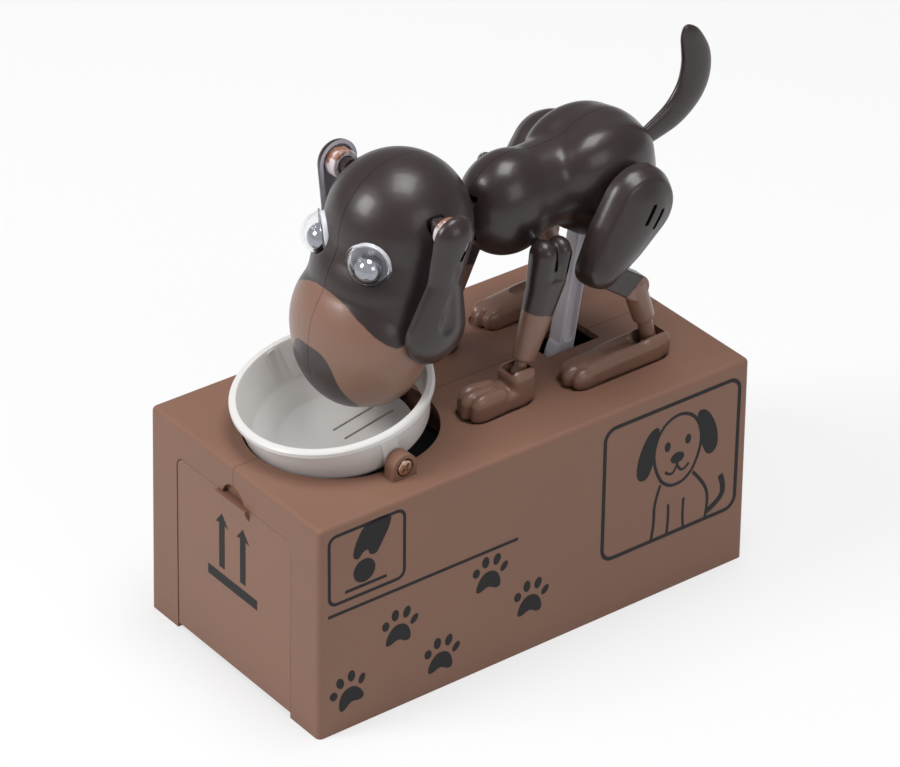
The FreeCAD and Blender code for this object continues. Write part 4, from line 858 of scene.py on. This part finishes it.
head_finish = moulded("sprayed_head", DARK, 0.36, coats=face_spray, coat=0.12)
EYE = Vector((10.5, -37.8, 124.3))
EAR = Vector((24.8, -21.4, 134.4))
SKULL = Vector((0, -20.0, 126.6))
head = kneaded(together(
    ball_of(SKULL, (20.7, 20.7, 20.7)), ball_of((0, -33.2, 97.6), (22.5, 17.6, 22.4)),
    ball_of((0, -26.6, 112.0), (20.6, 18.9, 18.0)), ball_of((0, -37.2, 93.6), (19.2, 13.4, 17.4)),
    hull(ball_of((0, -21.4, 124.6), (19.6, 18.6, 18.0)),
         ball_of((0, -31.6, 100.4), (21.4, 17.4, 18.0)))), 0.6, 18)
hollows = [cast(brick((-3.5, -12, 112.6), (3.5, 6, 130.4), 0.4), head_finish)]
for side, sign in SIDES:
    eye = Vector((sign * EYE.x, EYE.y, EYE.z))
    ear = Vector((sign * EAR.x, EAR.y, EAR.z))
    out = Vector((sign, 0, -0.0787)).normalized()
    hollows.append(cast(ball_of(eye, (6.25, 6.25, 6.25)), head_finish))
    # The pocket round each ear pin is lined with the near-black painted shade.
    hollows.append(cast(rod(ear + out * -7.2, ear + out * 4, 3.0), slit_painted_shade))
head = cut(in_finish(head, head_finish), *hollows)
halves("head_half", head, head_finish, "head", "head_left", "head_right")

# ------------------------------------------------------------------ eyes
# Two clear domes over white cups, pressed into the head, each with a loose bright ball
# that rolls inside. The dome's thin flange lies on the head.

clear = Finish("clear_dome")
dome_place = clear.node("ShaderNodeTexCoord", output=3)
haze = clear.node("ShaderNodeTexNoise", {}, {"Vector": dome_place, "Scale": 300.0, "Detail": 2.0})
dome_bump = clear.node("ShaderNodeBump", {}, {
    "Strength": 0.05, "Distance": 0.00003, "Height": haze})
clear.node("ShaderNodeOutputMaterial", {}, {"Surface": clear.node("ShaderNodeBsdfPrincipled", {}, {
    "Base Color": (0.97, 0.97, 0.98, 1.0), "Roughness": haze * 0.03 + 0.02, "Normal": dome_bump,
    "Transmission Weight": 1.0, "IOR": 1.2})})
cup_white = moulded("eye_cup_white", paint(228, 227, 232), 0.35)
mirror = moulded("eye_ball_chrome", paint(158, 160, 166), 0.07, grain=0.2, metal=1.0, cloudy=0.03)
for side, sign in SIDES:
    eye = Vector((sign * EYE.x, EYE.y, EYE.z))
    out = (eye - SKULL).normalized()
    turn = Matrix.Translation(eye) @ out.to_track_quat("Z", "Y").to_matrix().to_4x4()
    shell = cut(cast(ball_of((0, 0, 0), (6.2, 6.2, 6.2)), clear.material),
                cast(ball_of((0, 0, 0), (5.7, 5.7, 5.7)), clear.material),
                cast(brick((-9, -9, -9), (9, 9, 0.3)), clear.material))
    piece(f"eye_lens_{side}", moved(shell, turn), "head", f"eye_dome_{side}", slot="clear_dome")
    cup = cut(cast(ball_of((0, 0, 0), (6.15, 6.15, 6.15)), cup_white),
              cast(ball_of((0, 0, 0.4), (5.5, 5.5, 5.0)), cup_white),
              cast(brick((-9, -9, 0.25), (9, 9, 9)), cup_white))
    piece(f"eye_dish_{side}", moved(cup, turn), "head", f"eye_cup_{side}", slot="white_plastic")
    lowest = eye + Vector((0, 0, -1.2)) + out * 0.6
    piece(f"eye_bead_{side}", cast(ball_of(lowest, (4.0, 4.0, 4.0)), mirror), "head",
          f"eye_ball_{side}", slot="eye_metal")
    rim = cut(cast(rod((0, 0, 0.1), (0, 0, 0.7), 6.75, rounding=0.25, sides=64), clear.material),
              cast(rod((0, 0, -1), (0, 0, 2), 6.0, sides=64), clear.material))
    piece(f"eye_flange_{side}", moved(rim, turn), "head", slot="clear_dome")

# ------------------------------------------------------------------ ears
# Hollow ears, sprayed dark outside and left white inside, each with a white boss that
# turns on a dark pin in the side of the head; the spray has caught the boss.


def boss_spray(x, y, z, flow):
    """Brown overspray on part of the boss."""
    return [((flow + (z - 134.0) * 0.06).over(0.72, 0.15), paint(150, 104, 82))]


ear_white = moulded("raw_white_ear", paint(206, 203, 214), 0.35, coat=0.1)
boss_finish = moulded("oversprayed_boss", paint(214, 204, 206), 0.4, coats=boss_spray)
for side, sign, swing in (("left", 1, 8.0), ("right", -1, 2.0)):
    place = (Matrix.Translation((sign * EAR.x, EAR.y, EAR.z))
             @ Matrix.Rotation(math.radians(sign * 4.5), 4, "Y")
             @ Matrix.Rotation(math.radians(-swing), 4, "X") @ Matrix.Diagonal((sign, 1, 1, 1)))
    waist = [rod((-3, 0, -14), (1.8, 0, -14), 5.6), ball_of((1.2, 0, -14), (3.4, 5.2, 6.0))]
    lumps = [hull(rod((-3, 0, 0), (2.4, 0, 0), 6.4), ball_of((1.6, 0, 0), (4.3, 6.0, 6.0)),
                  *[lump.copy() for lump in waist]),
             hull(*waist, rod((-3, 0, -29.5), (2.6, 0, -29.5), 9.9),
                  ball_of((1.4, 0, -29.5), (4.6, 9.6, 9.7)))]
    shape = in_finish(kneaded(together(*lumps), 0.4, 10), dark_shell)
    scoop = cast(hull(ball_of((9.2, 0.6, -9), (4.6, 2.4, 5)),
                      ball_of((12.0, 0.4, -24.5), (7.4, 6.6, 7.6))))
    shape = worked(cut(shape, scoop), ("REMESH", {"mode": "VOXEL", "voxel_size": 0.4}),
                   ("SMOOTH", {"factor": 0.5, "iterations": 8}))
    inside = [cast(hull(rod((-3, 0, z0), (2.6, 0, z0), r0),
                        rod((-3, 0, z1), (2.6, 0, z1), r1)), ear_white)
              for z0, r0, z1, r1 in ((0, 5.2, -14, 4.4), (-14, 4.4, -29.5, 8.6))]
    flat = cast(brick((-12, -15, -45), (1.0, 15, 12)), ear_white)
    # The slot's walls are lined with the near-black painted shade.
    slot_cut = cast(hull(brick((3.8, 1.6, -0.2), (8, 2.6, 0.2)),
                         brick((3.8, 0.2, -5.6), (8, 1.2, -5.2))), slit_painted_shade)
    ear_shell = cut(in_finish(shape, dark_shell), flat, *inside, slot_cut)
    stalk = cast(rod((0.8, 0, 0), (5.0, 0, 0), 3.2), ear_white)
    bore = cast(rod((-2, 0, 0), (5.2, 0, 0), 1.6), ear_white)
    ear_shell = cut(cut(ear_shell, stalk, operation="UNION"), bore)
    boss = cut(cast(rod((-2.5, 0, 0), (2.2, 0, 0), 4.3, rounding=0.5), boss_finish),
               cast(rod((-4, 0, 0), (3, 0, 0), 2.8), boss_finish))
    ear = moved(meshes_in_one(ear_shell, boss), place)
    if sign < 0:
        ear.flip_normals()
    piece(f"ear_shell_{side}", ear, f"ear_{side}", f"ear_{side}", slot="dark_shell")
    wear(f"ear_pin_{side}", dark_shell)

# ------------------------------------------------------------------ stage, lamps and camera
# A plain pale floor and soft lamps: one broad softbox at the front left, one overhead and
# a weak fill, with the camera at the height of a person looking down at a table.

floor_finish = Finish("pale_floor")
rays = floor_finish.node("ShaderNodeLightPath", output=0)
glossy = floor_finish.node("ShaderNodeLightPath", output=3)
through = floor_finish.node("ShaderNodeLightPath", output=6)
seen = rays.at_least(glossy).at_least(through)
matt = floor_finish.node("ShaderNodeBsdfDiffuse", {}, {"Color": (0.82, 0.82, 0.82, 1.0)})
glow = floor_finish.node("ShaderNodeEmission", {}, {"Color": (1.0, 1.0, 1.0, 1.0), "Strength": 1.0})
floor_finish.node("ShaderNodeOutputMaterial", {}, {"Surface": floor_finish.node(
    "ShaderNodeMixShader", {}, {0: seen * 0.62, 1: matt, 2: glow})})
ground = bmesh.new()
bmesh.ops.create_grid(ground, x_segments=1, y_segments=1, size=6.0,
                      matrix=Matrix.Translation((0, 0, -0.0001)))
floor_mesh = cast(ground, floor_finish.material)
floor = bpy.data.objects.new("floor", floor_mesh)
bpy.context.scene.collection.objects.link(floor)
floor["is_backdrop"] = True

world = bpy.data.worlds.new("studio")
bpy.context.scene.world = world
world.use_nodes = True
sky = world.node_tree
sky.nodes.clear()
path = sky.nodes.new("ShaderNodeLightPath")
look = sky.nodes.new("ShaderNodeMath")
look.operation = "MAXIMUM"
sky.links.new(path.outputs["Is Camera Ray"], look.inputs[0])
sky.links.new(path.outputs["Is Transmission Ray"], look.inputs[1])
ambient = sky.nodes.new("ShaderNodeBackground")
ambient.inputs["Color"].default_value = (0.95, 0.97, 1.0, 1.0)
ambient.inputs["Strength"].default_value = 0.33
white = sky.nodes.new("ShaderNodeBackground")
white.inputs["Strength"].default_value = 1.0
choice = sky.nodes.new("ShaderNodeMixShader")
sky.links.new(look.outputs[0], choice.inputs[0])
sky.links.new(ambient.outputs[0], choice.inputs[1])
sky.links.new(white.outputs[0], choice.inputs[2])
sky.links.new(choice.outputs[0], sky.nodes.new("ShaderNodeOutputWorld").inputs["Surface"])

for name, place, wide, high, power in (
        ("front_left_softbox", (-0.35, -1.10, 0.95), 0.55, 0.55, 11.5),
        ("overhead_softbox", (0.10, 0.10, 1.35), 0.75, 0.60, 10.5),
        ("right_fill", (1.35, 0.10, 0.75), 0.7, 0.7, 3.0)):
    lamp = bpy.data.lights.new(name, "AREA")
    lamp.shape = "RECTANGLE"
    lamp.size, lamp.size_y, lamp.energy = wide, high, power
    holder = bpy.data.objects.new(name, lamp)
    holder.location = place
    aim = Vector((0.0, 0.0, 0.09)) - Vector(place)
    holder.rotation_euler = aim.to_track_quat("-Z", "Y").to_euler()
    bpy.context.scene.collection.objects.link(holder)

AZIMUTH, ELEVATION, ROLL = (math.radians(angle) for angle in (51.898, 31.835, 1.038))
back = Vector((math.sin(AZIMUTH) * math.cos(ELEVATION), -math.cos(AZIMUTH) * math.cos(ELEVATION),
               math.sin(ELEVATION)))
level = Vector((math.cos(AZIMUTH), math.sin(AZIMUTH), 0))
upright = back.cross(level)
right = math.cos(ROLL) * level + math.sin(ROLL) * upright
above = math.cos(ROLL) * upright - math.sin(ROLL) * level
camera = bpy.data.objects.new("camera", bpy.data.cameras.new("camera"))
camera.data.lens = 177.95
camera.data.sensor_width = 36.0
camera.data.clip_start, camera.data.clip_end = 0.05, 20.0
camera.matrix_world = (Matrix.Translation((0.83873, -0.65889, 0.72943))
                       @ Matrix((right, above, back)).transposed().to_4x4())
bpy.context.scene.collection.objects.link(camera)
bpy.context.scene.camera = camera
bpy.context.scene.view_settings.view_transform = "Standard"

low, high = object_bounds()
